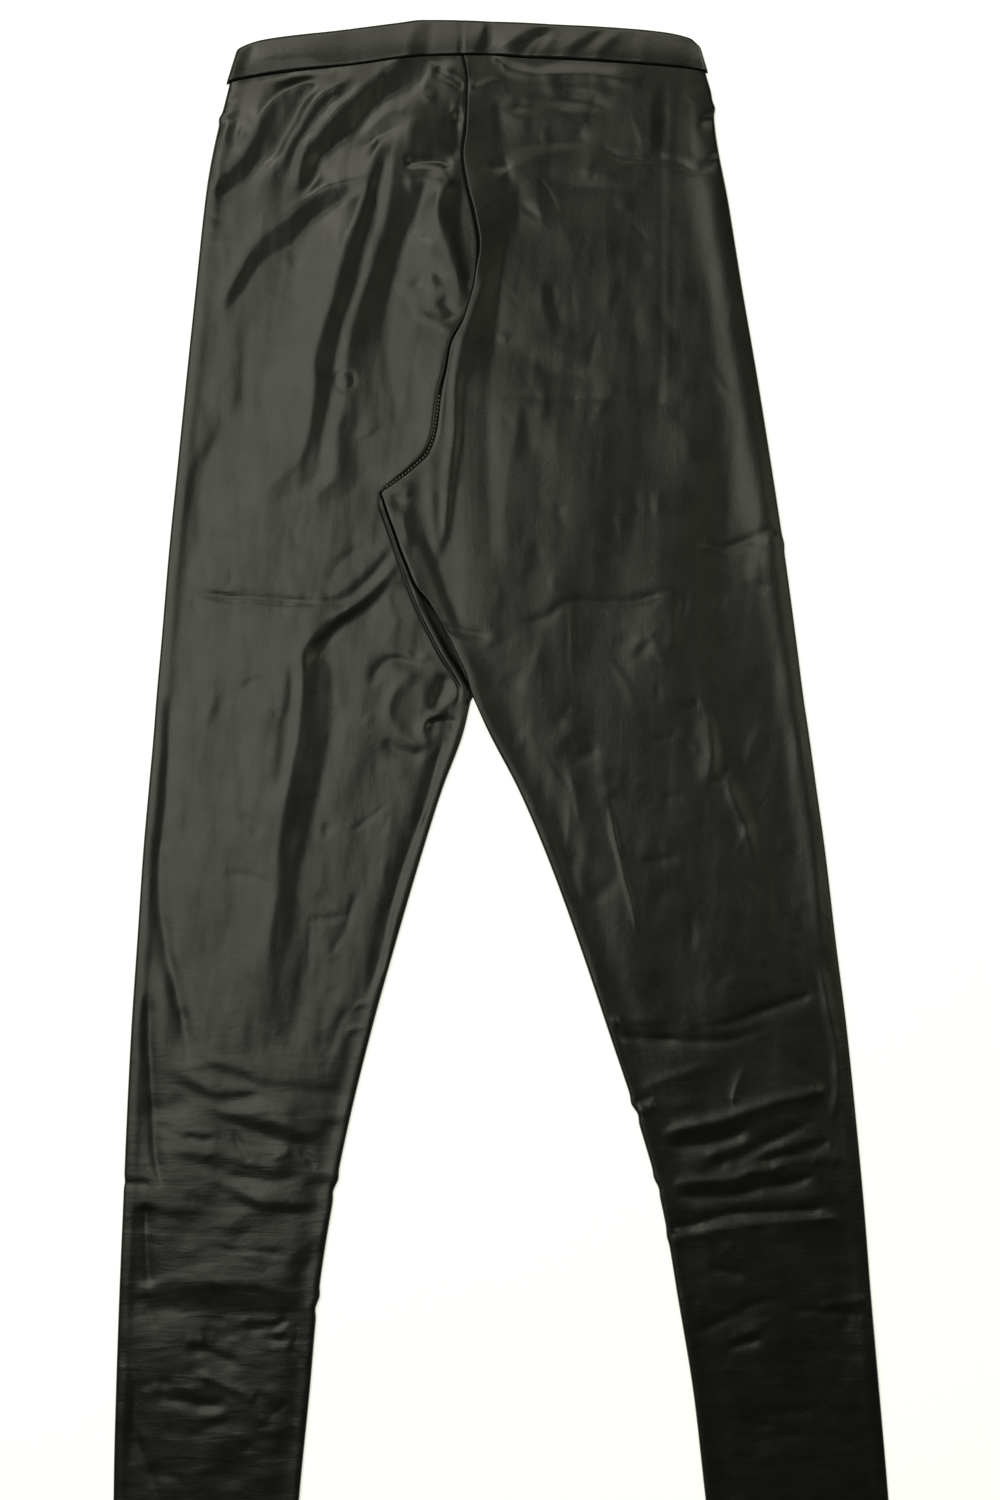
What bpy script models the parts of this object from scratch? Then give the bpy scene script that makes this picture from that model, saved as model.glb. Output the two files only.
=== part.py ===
"""Faux leather leggings, laid flat and face up, the waist at +Y and the legs a little apart.

Three pieces, as they are cut and sewn: a waistband ring and two leg panels. Each leg is one
panel wrapped round the leg and closed by its inseam; front and back rise seams join the legs
from the waistband down to the crotch point. The left leg's crotch extension is folded under,
and the right leg's lies over it, so four walls lie on each other there.

Sizes in the tables are millimetres. "down" is measured from the top of the waistband along
the garment, x from the middle of the plan outline. Objects are in metres, +Z up, the
underside at z = 0.
"""

import math

import bpy
import numpy as np

MM = 0.001
LENGTH = 1070.0            # waistband top to the lowest hem point
WALL = 1.0                 # leg panel
BAND_WALL = 2.0            # waistband: two layers and the elastic
SEAM_GAP = 0.3             # between sewn pieces
BOW = 0.12                 # kept on each side of a bowed seam, whose sections are straight lines
LAYER = 1.5                # one wall lying on another, middle to middle
REST = WALL / 2            # middle of a wall lying on the table
FRONT = 3.4                # middle of the front wall where only the back lies under it
HEM_HEIGHT = 19.0          # turned-up hem
HEM_EXTRA = 0.7            # thickness it adds on the inside
OVER_TWO = REST + 3 * LAYER    # front wall over the folded crotch extensions
CROTCH_DOWN = 311.5        # crotch point, where the rise seams end
SPLIT_DOWN = 449.0         # where the legs part in plan

# Plan outline: down, left leg's outer and inner edge, right leg's inner and outer edge.
OUTLINE = [
    # down,  l_out,  l_in,   r_in,   r_out
    (28.0, -182.0, None, None, 132.5),
    (42.5, -185.5, None, None, 136.5),
    (73.0, -191.5, None, None, 139.5),
    (122.5, -198.5, None, None, 148.0),
    (178.5, -204.5, None, None, 157.0),
    (231.0, -210.0, None, None, 166.0),
    (290.5, -216.0, None, None, 175.5),
    (350.0, -222.0, None, None, 184.5),
    (409.5, -227.0, None, None, 192.5),
    (449.0, -230.5, -22.5, -20.5, 197.5),
    (469.0, -232.0, -27.0, -11.5, 200.5),
    (508.5, -235.5, -41.5, 9.0, 206.0),
    (548.0, -239.0, -54.0, 26.0, 211.5),
    (607.5, -243.0, -71.5, 48.0, 218.5),
    (667.0, -247.0, -88.0, 68.0, 226.0),
    (726.0, -250.0, -102.5, 87.5, 232.0),
    (785.5, -252.5, -114.5, 104.0, 237.5),
    (845.0, -255.0, -123.5, 114.5, 242.0),
    (904.5, -257.0, -129.0, 124.5, 247.0),
    (964.0, -258.5, -135.0, 131.5, 252.0),
    (1016.5, -259.0, -139.5, 137.5, 256.0),
    (1070.0, -259.0, -144.0, 143.0, 259.8),
]

# Front rise seam, then the edge of the right leg's crotch extension down to the split.
FRONT_SEAM = [
    # down,  x
    (24.0, -29.0), (42.5, -25.5), (73.0, -26.5), (89.5, -28.5), (109.0, -25.5),
    (129.0, -20.5), (148.5, -18.0), (172.0, -20.5), (195.0, -26.5), (214.5, -36.5),
    (231.0, -39.5), (247.5, -43.0), (271.0, -46.0), (285.5, -51.0), (294.5, -59.5),
    (302.5, -69.5), (311.5, -82.5),
]
EXTENSION_EDGE = [
    (311.5, -82.5), (320.5, -80.0), (337.0, -74.5), (356.5, -67.5), (377.5, -58.5),
    (393.0, -49.5), (412.5, -37.5), (443.5, -23.0),
]
# Back rise seam under the front, and the fold of the left leg's extension beside it.
BACK_SEAM = [
    (28.0, -33.0), (119.0, -27.5), (205.0, -23.0), (231.0, -26.5), (254.5, -33.0),
    (271.0, -40.0), (285.5, -46.0), (294.0, -53.5), (302.5, -63.5), (311.5, -77.0),
]
UNDER_FOLD = [
    (28.0, -25.5), (119.0, -20.5), (205.0, -14.0), (231.0, 0.0), (254.5, 13.0),
    (297.0, 23.0), (337.0, 20.5), (376.5, 10.0), (412.5, -5.5), (449.0, -22.5),
]
# Left leg's inseam under the extension, where its ring of columns closes.
INSEAM_LEFT = [
    (311.5, -82.5), (343.5, -74.5), (370.0, -66.5), (409.5, -53.5), (449.0, -37.0),
]
INSEAM_SET_IN = 14.5       # below the split, from the inner edge

# Waistband: its top edge and the seam under it.
BAND_TOP = [
    # x,  down
    (-177.5, 20.0), (-169.5, 16.0), (-161.0, 13.5), (-109.0, 7.0), (-69.5, 2.0),
    (-53.0, 0.0), (-12.0, 1.0), (29.5, 3.0), (93.5, 7.0), (122.0, 12.0), (129.5, 18.5),
]
BAND_SEAM = [
    (-184.5, 42.5), (-175.0, 40.0), (-155.0, 36.5), (-135.5, 34.0), (-102.5, 31.0),
    (-69.5, 26.5), (-51.0, 24.5), (-12.0, 24.0), (10.0, 25.5), (36.5, 26.5),
    (76.0, 29.0), (119.0, 32.5), (134.5, 35.0),
]
SEAM_LEVEL = 28.0          # the row that follows the waistband's seam
SEAM_FADE = 95.0           # rows are level again this far below it

# Sections across the legs, down from the top of the waistband.
SECTIONS = [
    28.0, 46.0, 69.0, 95.0, 122.0, 149.0, 178.0, 205.0, 231.0, 254.5, 274.0, 289.5,
    302.0, 311.5, 325.0, 343.5, 366.0, 389.0, 412.0, 432.0, 449.0, 472.0, 502.0, 538.0,
    577.0, 620.0, 660.0, 686.0, 709.0, 733.0, 759.0, 789.0, 822.0, 858.0, 898.0, 937.0,
    983.0, 1026.0,
]
HEM_TILT = {"left": 0.063, "right": -0.112}    # hems are square to their legs
HEM_DOWN = {"left": 1064.7, "right": 1063.5}   # middle of each hem

# Largest folds of the front walls: height above (or below) the wall, half width, centre line.
FOLDS = {
    "left": [
        # height, half, ((x, down), ...)
        (-0.9, 17.0, ((-86.0, 86.0), (-92.5, 132.0), (-105.5, 172.0), (-115.5, 211.5), (-127.5, 277.5))),
        (0.9, 15.0, ((-68.0, 86.0), (-74.5, 119.0), (-87.5, 178.5), (-103.5, 251.0), (-112.0, 304.0))),
        (0.9, 16.0, ((-102.5, 46.5), (-123.5, 73.0), (-142.0, 102.5), (-163.0, 129.0))),
        (-1.0, 15.0, ((-208.0, 379.0), (-168.5, 383.0), (-115.5, 385.0), (-85.0, 358.0))),
        (0.9, 15.0, ((-90.0, 375.0), (-110.0, 395.0), (-132.0, 415.0), (-135.5, 449.0), (-143.0, 502.0))),
        (-0.9, 16.0, ((-85.0, 410.0), (-112.0, 440.0), (-122.5, 480.0), (-132.5, 535.0), (-150.0, 620.5))),
        (-0.7, 14.0, ((-54.0, 500.0), (-68.0, 548.0), (-78.0, 581.0), (-92.5, 637.0))),
        (-0.7, 14.0, ((-222.5, 482.0), (-220.0, 581.0), (-213.0, 680.0))),
        (-0.9, 16.0, ((-224.5, 695.0), (-191.5, 706.5), (-158.5, 703.0), (-105.5, 708.5))),
        (0.8, 16.0, ((-208.0, 766.5), (-168.5, 771.0), (-125.0, 769.0))),
        (-0.8, 16.0, ((-231.0, 838.5), (-181.5, 842.5), (-132.0, 845.0))),
        (0.7, 16.0, ((-218.0, 900.0), (-185.0, 896.0), (-155.0, 890.0))),
    ],
    "right": [
        (0.9, 12.0, ((-16.0, 96.0), (-8.0, 129.0), (-8.0, 165.0), (-20.5, 201.5), (-28.0, 231.0), (-32.0, 271.0), (-36.0, 317.0))),
        (0.8, 17.0, ((-3.5, 100.5), (26.5, 84.5), (62.5, 75.5))),
        (-0.9, 17.0, ((62.5, 88.5), (89.0, 94.5), (128.5, 95.5))),
        (-0.9, 17.0, ((26.0, 400.0), (66.5, 385.0), (102.5, 379.0), (181.5, 374.5))),
        (-0.7, 15.0, ((160.5, 251.0), (175.0, 356.5), (189.5, 482.0), (203.0, 601.0))),
        (-0.9, 16.0, ((69.5, 674.5), (128.5, 672.0), (175.0, 657.0), (211.0, 643.5))),
        (0.9, 15.0, ((100.5, 722.0), (152.0, 716.5), (216.5, 698.0))),
        (-0.9, 15.0, ((95.0, 752.5), (152.0, 738.0), (222.0, 719.0))),
        (0.7, 15.0, ((122.0, 770.5), (168.5, 763.0), (212.5, 754.5))),
        (-0.9, 16.0, ((112.5, 799.0), (155.0, 790.0), (231.0, 785.5))),
        (-0.7, 17.0, ((128.5, 868.0), (168.5, 853.0), (227.5, 847.0))),
    ],
}


def step(t):
    t = np.clip(t, 0.0, 1.0)
    return t * t * (3.0 - 2.0 * t)


def along(table, key=0, value=1):
    """Monotone cubic through a table's rows, as a function of its key column."""
    rows = [r for r in table if r[value] is not None]
    x = np.array([r[key] for r in rows], float)
    y = np.array([r[value] for r in rows], float)
    h = np.diff(x)
    d = np.diff(y) / h
    m = np.empty_like(y)
    m[0], m[-1] = d[0], d[-1]
    for i in range(1, len(y) - 1):
        if d[i - 1] * d[i] <= 0.0:
            m[i] = 0.0
        else:
            w1, w2 = 2 * h[i] + h[i - 1], h[i] + 2 * h[i - 1]
            m[i] = (w1 + w2) / (w1 / d[i - 1] + w2 / d[i])

    def read(q):
        q = min(max(float(q), x[0]), x[-1])
        i = min(int(np.searchsorted(x, q, side="right")) - 1, len(h) - 1)
        t = (q - x[i]) / h[i]
        return float(
            (1 + 2 * t) * (1 - t) ** 2 * y[i] + t * (1 - t) ** 2 * h[i] * m[i]
            + t * t * (3 - 2 * t) * y[i + 1] + t * t * (t - 1) * h[i] * m[i + 1]
        )

    return read


left_outer = along(OUTLINE, 0, 1)
left_inner = along(OUTLINE, 0, 2)
right_inner = along(OUTLINE, 0, 3)
right_outer = along(OUTLINE, 0, 4)
front_seam = along(FRONT_SEAM)
extension_edge = along(EXTENSION_EDGE)
back_seam = along(BACK_SEAM)
under_fold = along(UNDER_FOLD)
inseam_left = along(INSEAM_LEFT)
band_top = along(BAND_TOP)
band_seam = along(BAND_SEAM)


def fold_height(side, x, down):
    """Sum of the large folds at a point of a front wall."""
    total = 0.0
    for height, half, line in FOLDS[side]:
        pts = np.array(line)
        a, b = pts[:-1], pts[1:]
        ab = b - a
        t = np.clip((((x, down) - a) * ab).sum(1) / (ab * ab).sum(1), 0.0, 1.0)
        gap = np.hypot(*(a + ab * t[:, None] - (x, down)).T)
        near = int(gap.argmin())
        if gap[near] < half:
            run = (near + t[near]) / len(ab)
            ends = min(1.0, 4.0 * min(run, 1.0 - run) + 0.35)
            total += height * ends * (1.0 - (gap[near] / half) ** 2) ** 2
    return total


def row_down(side, level, x):
    """Where a section runs: along the waistband's seam at the top, square to the leg at the hem."""
    down = level
    fade = 1.0 - step((level - SEAM_LEVEL) / SEAM_FADE)
    if fade > 0.0:
        down += (band_seam(x) - SEAM_LEVEL + 0.5 * SEAM_GAP + BOW) * fade
    tilt = HEM_TILT[side] * step((level - 760.0) / (HEM_DOWN[side] - 760.0))
    if tilt:
        if side == "left":
            middle = 0.5 * (left_outer(level) + left_inner(level))
        else:
            middle = 0.5 * (right_outer(level) + right_inner(level))
        down += tilt * (x - middle)
    return down


def left_wall_height(level, x, down):
    """Middle of the left leg's front wall."""
    base = max(FRONT + fold_height("left", x, down), REST + LAYER)
    if level < CROTCH_DOWN:
        edge = front_seam(level)
        high = OVER_TWO + (REST + LAYER - OVER_TWO) * step((level - 283.0) / (CROTCH_DOWN - 283.0))
        start = min(edge, back_seam(level) - 2.0)
    else:
        edge = extension_edge(level) if level < 443.5 else left_inner(max(level, SPLIT_DOWN))
        high = REST + LAYER + (FRONT - REST - LAYER) * step((level - SPLIT_DOWN) / 50.0)
        start = edge - 3.0
    near = step((x - (start - 22.0)) / 22.0)
    return base + (high - base) * near


def right_edge(level):
    """Inner edge of the right leg in plan, from the crotch point down."""
    if level <= 443.5:
        return extension_edge(level)
    return right_inner(row_down("right", level, right_inner(max(level, SPLIT_DOWN))))


def right_fold(level):
    """How far to the right the right leg is held up by what lies under it."""
    if level < 405.0:
        return under_fold(level) + 1.8
    near_edge = right_edge(level) + 13.3
    return max(under_fold(level) + 1.8, near_edge) if level <= SPLIT_DOWN else near_edge


def right_wall_height(level, x, down):
    """Middle of the right leg's front wall."""
    base = max(FRONT + fold_height("right", x, down), REST + LAYER)
    lift = 1.0 - step((level - SPLIT_DOWN) / 52.0)
    if lift <= 0.0:
        return base
    fold = right_fold(level) + 0.2
    over = max(OVER_TWO + fold_height("right", x, down), OVER_TWO)
    near = 1.0 - step((x - fold) / 26.0)
    return base + (over - base) * near * lift


def right_back_height(level, x):
    """Middle of the right leg's back wall, over the left leg's folded extension."""
    lift = 1.0 - step((level - SPLIT_DOWN) / 48.0)
    near = 1.0 - step((x - right_fold(level)) / 20.0)
    return REST + 2 * LAYER * near * lift


def half_turn(x, low, high, towards, steps):
    """Points of a half circle from the high wall to the low one (both ends left out)."""
    r = 0.5 * (high - low)
    mid = 0.5 * (high + low)
    return [
        (x - towards * r * (1.0 - math.sin(math.pi * k / steps)), mid + r * math.cos(math.pi * k / steps))
        for k in range(1, steps)
    ]


def spread(first, last, count, lead=()):
    """Positions from first to last: the lead distances come first, then even ones."""
    sign = 1.0 if last > first else -1.0
    out = [first] + [first + sign * d for d in lead]
    left = count - len(lead)
    return out + [out[-1] + (last - out[-1]) * k / left for k in range(1, left + 1)]


def left_section(level):
    """Middle line of one section of the left leg, seam edge to seam edge: (x, z) and closed or not."""
    closed = level >= CROTCH_DOWN
    if not closed:
        start = front_seam(level) - SEAM_GAP / 2
        end = back_seam(level)
    else:
        start = inseam_left(level) if level <= SPLIT_DOWN else left_inner(level) - INSEAM_SET_IN
        end = start
    down = lambda x: row_down("left", level, x)
    outer = left_outer(down(left_outer(level))) + WALL / 2
    inner = under_fold(level) if level < SPLIT_DOWN else left_inner(down(left_inner(level))) - WALL / 2
    height = lambda x: left_wall_height(level, x, down(x))
    rim = height(outer + 2.0)
    r_out = 0.5 * (rim - REST)
    line = [(x, height(x)) for x in spread(start, outer + r_out, 9, (8.0, 20.0))]
    line[-1] = (outer + r_out, rim)
    line += half_turn(outer, REST, rim, -1.0, 3)
    top_in = REST + LAYER if level < SPLIT_DOWN else height(inner - 1.0)
    r_in = 0.5 * (top_in - REST)
    line += [(x, REST) for x in spread(outer + r_out, inner - r_in, 6)]
    line += half_turn(inner, REST, top_in, 1.0, 3)[::-1]
    back = spread(inner - r_in, end, 3)
    if closed:
        line += [(x, height(x)) for x in back]
        line[-len(back)] = (inner - r_in, top_in)
    else:
        line += [(x, REST + LAYER) for x in back]
    return (line[:-1] if closed else line), closed


def right_section(level):
    """Middle line of one section of the right leg, seam edge to seam edge."""
    closed = level >= CROTCH_DOWN
    down = lambda x: row_down("right", level, x)
    height = lambda x: right_wall_height(level, x, down(x))
    outer = right_outer(down(right_outer(level))) - WALL / 2
    rim = height(outer - 2.0)
    r_out = 0.5 * (rim - REST)
    if closed:
        apex = right_edge(level) + WALL / 2
        top, low = height(apex + 1.0), right_back_height(level, apex)
        r_in = 0.5 * (top - low)
        turn = half_turn(apex, low, top, -1.0, 4)
        line = [turn[1], turn[0]] + [(x, height(x)) for x in spread(apex + r_in, outer - r_out, 9, (9.0,))]
        line[2] = (apex + r_in, top)
        near = [apex + r_in + d for d in (0.0, 4.0, 9.0)]
        tail = [turn[2]]
    else:
        start = front_seam(level) + SEAM_GAP / 2
        line = [(x, height(x)) for x in (start, start + 3.5)]
        line += [(x, height(x)) for x in spread(start + 8.0, outer - r_out, 9, (9.0,))]
        end = back_seam(level)
        near = [end + d for d in (3.2, 0.45 * (under_fold(level) - end) + 2.0, under_fold(level) - end)]
        tail = [(end + 1.6, REST + 2 * LAYER), (end, REST + 2 * LAYER)]
    line[-1] = (outer - r_out, rim)
    line += half_turn(outer, REST, rim, 1.0, 3)
    fold = right_fold(level)
    back = spread(outer - r_out, fold + 20.0, 5) + [fold + 14.0, fold + 7.0, fold]
    back += near[::-1]
    line += [(x, right_back_height(level, x)) for x in back]
    return line + tail, closed


def offset(line, closed, right_side, left_side):
    """Both faces of a wall along a middle line, mitred so that flat stretches keep their thickness."""
    p = np.array(line)
    before = np.roll(p, 1, axis=0)
    after = np.roll(p, -1, axis=0)
    a, b = p - before, after - p
    if not closed:
        a[0], b[-1] = b[0], a[-1]
    a /= np.hypot(*a.T)[:, None]
    b /= np.hypot(*b.T)[:, None]
    na = np.stack([-a[:, 1], a[:, 0]], axis=1)
    nb = np.stack([-b[:, 1], b[:, 0]], axis=1)
    mitre = na + nb
    mitre /= (mitre * na).sum(1)[:, None]
    return p + mitre * left_side, p - mitre * right_side


def shell(sections, where, thickness):
    """Verts and faces of the wall through the sections. where(section, x) gives the plan point's down."""
    verts, faces, rows = [], [], []
    for s, (line, closed) in enumerate(sections):
        for face in offset(line, closed, *thickness(s)):
            ids = []
            for x, z in face:
                ids.append(len(verts))
                verts.append((x, where(s, x), z))
            if closed:
                ids.append(ids[0])
            rows.append(ids)
    out, inn = rows[0::2], rows[1::2]

    def quad(a, b, c, d):
        face = []
        for v in (a, b, c, d):
            if v not in face:
                face.append(v)
        if len(face) > 2:
            faces.append(tuple(face))

    for s in range(len(sections) - 1):
        for c in range(len(out[s]) - 1):
            quad(out[s][c], out[s][c + 1], out[s + 1][c + 1], out[s + 1][c])
            quad(inn[s][c + 1], inn[s][c], inn[s + 1][c], inn[s + 1][c + 1])
        if not sections[s][1]:
            quad(inn[s][0], out[s][0], out[s + 1][0], inn[s + 1][0])
            quad(out[s][-1], inn[s][-1], inn[s + 1][-1], out[s + 1][-1])
    for s, flip in ((0, False), (len(sections) - 1, True)):
        for c in range(len(out[s]) - 1):
            ring = (inn[s][c], inn[s][c + 1], out[s][c + 1], out[s][c])
            quad(*(ring[::-1] if flip else ring))
    return verts, faces


def outward_facing(verts, faces):
    v = np.array(verts)
    volume = sum(
        float(np.dot(v[f[0]], np.cross(v[f[i]], v[f[i + 1]]))) for f in faces for i in range(1, len(f) - 1)
    )
    return faces if volume > 0 else [f[::-1] for f in faces]


def material(name, colour, roughness):
    made = bpy.data.materials.new(name)
    made.use_nodes = True
    surface = made.node_tree.nodes["Principled BSDF"]
    surface.inputs["Base Color"].default_value = (*colour, 1.0)
    surface.inputs["Roughness"].default_value = roughness
    surface.inputs["Metallic"].default_value = 0.0
    return made


def add_piece(name, origin, verts, faces, parent, finish):
    """A piece as its own object, its origin at a sewing point; verts are (x, down, z) in mm."""
    ox, odown, oz = origin
    local = [((x - ox) * MM, (odown - d) * MM, (z - oz) * MM) for x, d, z in verts]
    mesh = bpy.data.meshes.new(name)
    mesh.from_pydata(local, [], outward_facing(local, faces))
    mesh.validate()
    mesh.update()
    mesh.shade_smooth()
    mesh.set_sharp_from_angle(angle=math.radians(50.0))
    piece = bpy.data.objects.new(name, mesh)
    bpy.context.scene.collection.objects.link(piece)
    piece.parent = parent
    piece.location = (ox * MM, (LENGTH / 2 - odown) * MM, oz * MM)
    piece.data.materials.append(finish)
    return piece


def make_leg(side, section, origin, parent, finish):
    hem = HEM_DOWN[side]
    levels = SECTIONS + [hem - HEM_HEIGHT - 2.0, hem - HEM_HEIGHT, hem]
    sections = [section(level) for level in levels]

    def thickness(s):
        """The turned-up hem thickens the wall inwards: the left leg's line runs the other way round."""
        sides = (WALL / 2 + (HEM_EXTRA if s >= len(levels) - 2 else 0.0), WALL / 2)
        return sides if side == "right" else sides[::-1]

    verts, faces = shell(sections, lambda s, x: row_down(side, levels[s], x), thickness)
    return add_piece("leg_" + side, origin, verts, faces, parent, finish)


def make_waistband(origin, parent, finish):
    low, high = BAND_WALL / 2, FRONT
    r = 0.5 * (high - low)
    slices = (0.0, 0.12, 0.55, 1.0)
    sections, tops = [], []
    for v in slices:
        left = -177.5 + v * (-184.0 + 177.5) + 1.0
        right = 129.5 + v * (134.0 - 129.5) - 1.0
        line = [(x, high) for x in spread(right - r, left + r, 16)]
        line += half_turn(left, low, high, -1.0, 4)
        line += [(x, low) for x in spread(left + r, right - r, 16)]
        line += half_turn(right, low, high, 1.0, 4)[::-1]
        sections.append((line, True))
        tops.append((left, right))

    def where(s, x):
        v = slices[s]
        left, right = tops[s]
        share = (x - left) / (right - left)
        top = band_top(-177.5 + share * 307.0)
        return top + v * (band_seam(x) - SEAM_GAP / 2 - BOW - top)

    verts, faces = shell(sections, where, lambda s: (BAND_WALL / 2, BAND_WALL / 2))
    return add_piece("waistband", origin, verts, faces, parent, finish)


def main():
    for obj in list(bpy.data.objects):
        bpy.data.objects.remove(obj)
    garment = bpy.data.objects.new("leggings", None)
    bpy.context.scene.collection.objects.link(garment)
    black = (0.035, 0.035, 0.030)
    make_waistband((-26.0, 12.0, 0.0), garment, material("waistband_faux_leather", black, 0.4))
    make_leg("left", left_section, (-82.5, CROTCH_DOWN, 0.0), garment, material("leg_left_faux_leather", black, 0.42))
    make_leg("right", right_section, (-82.5, CROTCH_DOWN, 0.0), garment, material("leg_right_faux_leather", black, 0.42))


main()
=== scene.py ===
"""Looks of the faux leather leggings, laid flat and face up on a pale surface.

Three cloth shells stand for the three CAD pieces: the waistband and the two leg panels, each
wrapped round as it is cut, with the turned-up hems, the folded crotch extensions and the rise
seam. Creases are placed from the tables below. Tables are in millimetres: x from the
middle of the plan outline, "down" from the top of the waistband. The frame has +Y towards the
waistband, so Y = TOP - down. Heights are above the surface that the garment lies on.
"""

import math

import bpy
import numpy as np
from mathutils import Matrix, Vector
from mathutils.bvhtree import BVHTree


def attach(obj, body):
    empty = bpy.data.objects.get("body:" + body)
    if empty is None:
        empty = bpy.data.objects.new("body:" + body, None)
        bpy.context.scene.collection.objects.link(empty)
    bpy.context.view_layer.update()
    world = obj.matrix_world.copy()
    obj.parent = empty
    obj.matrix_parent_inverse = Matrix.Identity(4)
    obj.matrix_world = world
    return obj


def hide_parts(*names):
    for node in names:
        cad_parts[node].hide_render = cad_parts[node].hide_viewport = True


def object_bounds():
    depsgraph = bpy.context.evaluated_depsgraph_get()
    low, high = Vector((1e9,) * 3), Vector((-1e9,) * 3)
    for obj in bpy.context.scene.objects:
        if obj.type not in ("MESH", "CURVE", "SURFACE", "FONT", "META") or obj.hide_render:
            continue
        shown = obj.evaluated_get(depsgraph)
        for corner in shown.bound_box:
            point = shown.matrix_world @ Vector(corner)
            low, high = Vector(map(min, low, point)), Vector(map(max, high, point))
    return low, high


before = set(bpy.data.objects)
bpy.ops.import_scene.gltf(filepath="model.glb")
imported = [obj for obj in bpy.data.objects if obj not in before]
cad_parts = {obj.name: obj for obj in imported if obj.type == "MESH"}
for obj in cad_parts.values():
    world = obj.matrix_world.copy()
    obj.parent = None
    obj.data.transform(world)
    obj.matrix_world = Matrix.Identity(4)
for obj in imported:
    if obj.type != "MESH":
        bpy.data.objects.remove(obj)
CAD_LOW, CAD_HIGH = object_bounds()
MM = 0.001
TOP = CAD_HIGH.y / MM + 0.1          # Y of "down" 0, in mm

# ---------------------------------------------------------------- sizes

LAYER = 1.5                # one wall lying on another
CLEAR = 0.12               # underside above the surface
FRONT = 3.9                # top of the front wall over the back one
OVER_TWO = 5.5             # top of the front wall over the folded crotch extensions
UNDER = 2.4                # top of the left leg's wall where the extension lies on it
GAP_LOW = 1.2              # the open gap between the strip and the extension's edge
BAND_LOW = 3.4             # waistband's face at its fold and seam
BAND_PUFF = 1.35           # and how much fuller it is at its crest
BAND_CREST = 0.90
BACK_OVER = 3.1            # underside of the right leg's back wall over the fold
CROTCH = 311.5             # crotch point, down
SPLIT = 449.0              # where the legs part in plan
HEM = {"left": 1064.7, "right": 1063.5}
HEM_TILT = {"left": 0.063, "right": -0.112}
HEM_TURN = 18.0            # height of the turned-up hem

OUTLINE = [
    # down,  l_out,  l_in,   r_in,   r_out
    (28.0, -182.0, None, None, 132.5),
    (42.5, -185.5, None, None, 136.5),
    (73.0, -191.5, None, None, 139.5),
    (122.5, -198.5, None, None, 148.0),
    (178.5, -204.5, None, None, 157.0),
    (231.0, -210.0, None, None, 166.0),
    (290.5, -216.0, None, None, 175.5),
    (350.0, -222.0, None, None, 184.5),
    (409.5, -227.0, None, None, 192.5),
    (449.0, -230.5, -22.5, -20.5, 197.5),
    (469.0, -232.0, -27.0, -11.5, 200.5),
    (508.5, -235.5, -41.5, 9.0, 206.0),
    (548.0, -239.0, -54.0, 26.0, 211.5),
    (607.5, -243.0, -71.5, 48.0, 218.5),
    (667.0, -247.0, -88.0, 68.0, 226.0),
    (726.0, -250.0, -102.5, 87.5, 232.0),
    (785.5, -252.5, -114.5, 104.0, 237.5),
    (845.0, -255.0, -123.5, 114.5, 242.0),
    (904.5, -257.0, -129.0, 124.5, 247.0),
    (964.0, -258.5, -135.0, 131.5, 252.0),
    (1016.5, -259.0, -139.5, 137.5, 256.0),
    (1070.0, -259.0, -144.0, 143.0, 259.8),
]

# Small steps of the outline where creases and seam allowances reach it: edge, down, out (mm), half length.
NICKS = [
    ("left_out", 53.7, -1.2, 3.5),
    ("right_out", 52.3, 1.3, 3.5),
    ("right_out", 345.4, 0.7, 4.0),
    ("left_out", 767.1, 0.5, 3.0),
    ("left_in", 765.1, 0.9, 4.0),
    ("left_in", 773.7, -1.0, 4.0),
    ("left_in", 841.7, 0.9, 4.0),
    ("left_in", 850.3, -1.0, 4.0),
    ("right_in", 715.6, -1.1, 4.0),
    ("right_in", 722.9, 1.2, 4.0),
    ("right_in", 764.5, -0.7, 4.0),
    ("right_in", 771.7, 0.8, 4.0),
    ("right_in", 802.8, -0.7, 4.0),
]

FRONT_SEAM = [
    # down,  x: the left panel's edge along the rise
    (24.0, -29.0), (42.5, -25.5), (73.0, -26.5), (89.5, -28.5), (109.0, -25.5),
    (129.0, -20.5), (148.5, -17.5), (172.0, -18.5), (195.0, -26.5), (214.5, -36.5),
    (231.0, -39.5), (247.5, -43.0), (271.0, -46.0), (285.5, -51.0), (294.5, -59.5),
    (302.5, -69.5), (311.5, -82.5),
]
OVERLAP = [
    # down,  how far the right panel's roll reaches over the left one's edge
    (24.0, 0.0), (120.0, 0.0), (150.0, 0.0), (166.0, 2.0), (178.0, 2.6), (192.0, 1.2), (204.0, 0.0), (312.0, 0.0),
]
EXTENSION_EDGE = [
    # down,  x: the edge of the right leg's crotch extension
    (311.5, -82.5), (320.0, -79.5), (328.0, -77.0), (337.0, -73.5), (349.0, -69.5), (360.0, -65.0),
    (370.0, -61.0), (376.0, -57.5), (383.0, -51.5), (391.0, -46.5), (400.0, -41.5), (410.0, -36.0),
    (420.0, -31.5), (432.0, -26.0), (443.5, -22.8),
]
INSEAM_LEFT = [
    # down,  x: the left leg's inseam beside the extension
    (311.5, -82.5), (320.0, -82.3), (330.0, -79.3), (343.5, -74.6), (355.5, -70.6), (368.5, -66.0),
    (383.0, -60.7), (395.0, -55.4), (408.0, -48.8), (420.5, -42.2), (432.5, -34.8), (443.5, -30.0), (455.0, -32.0),
    (469.0, -38.5),
]
INSEAM_SET_IN = 12.0
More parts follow.
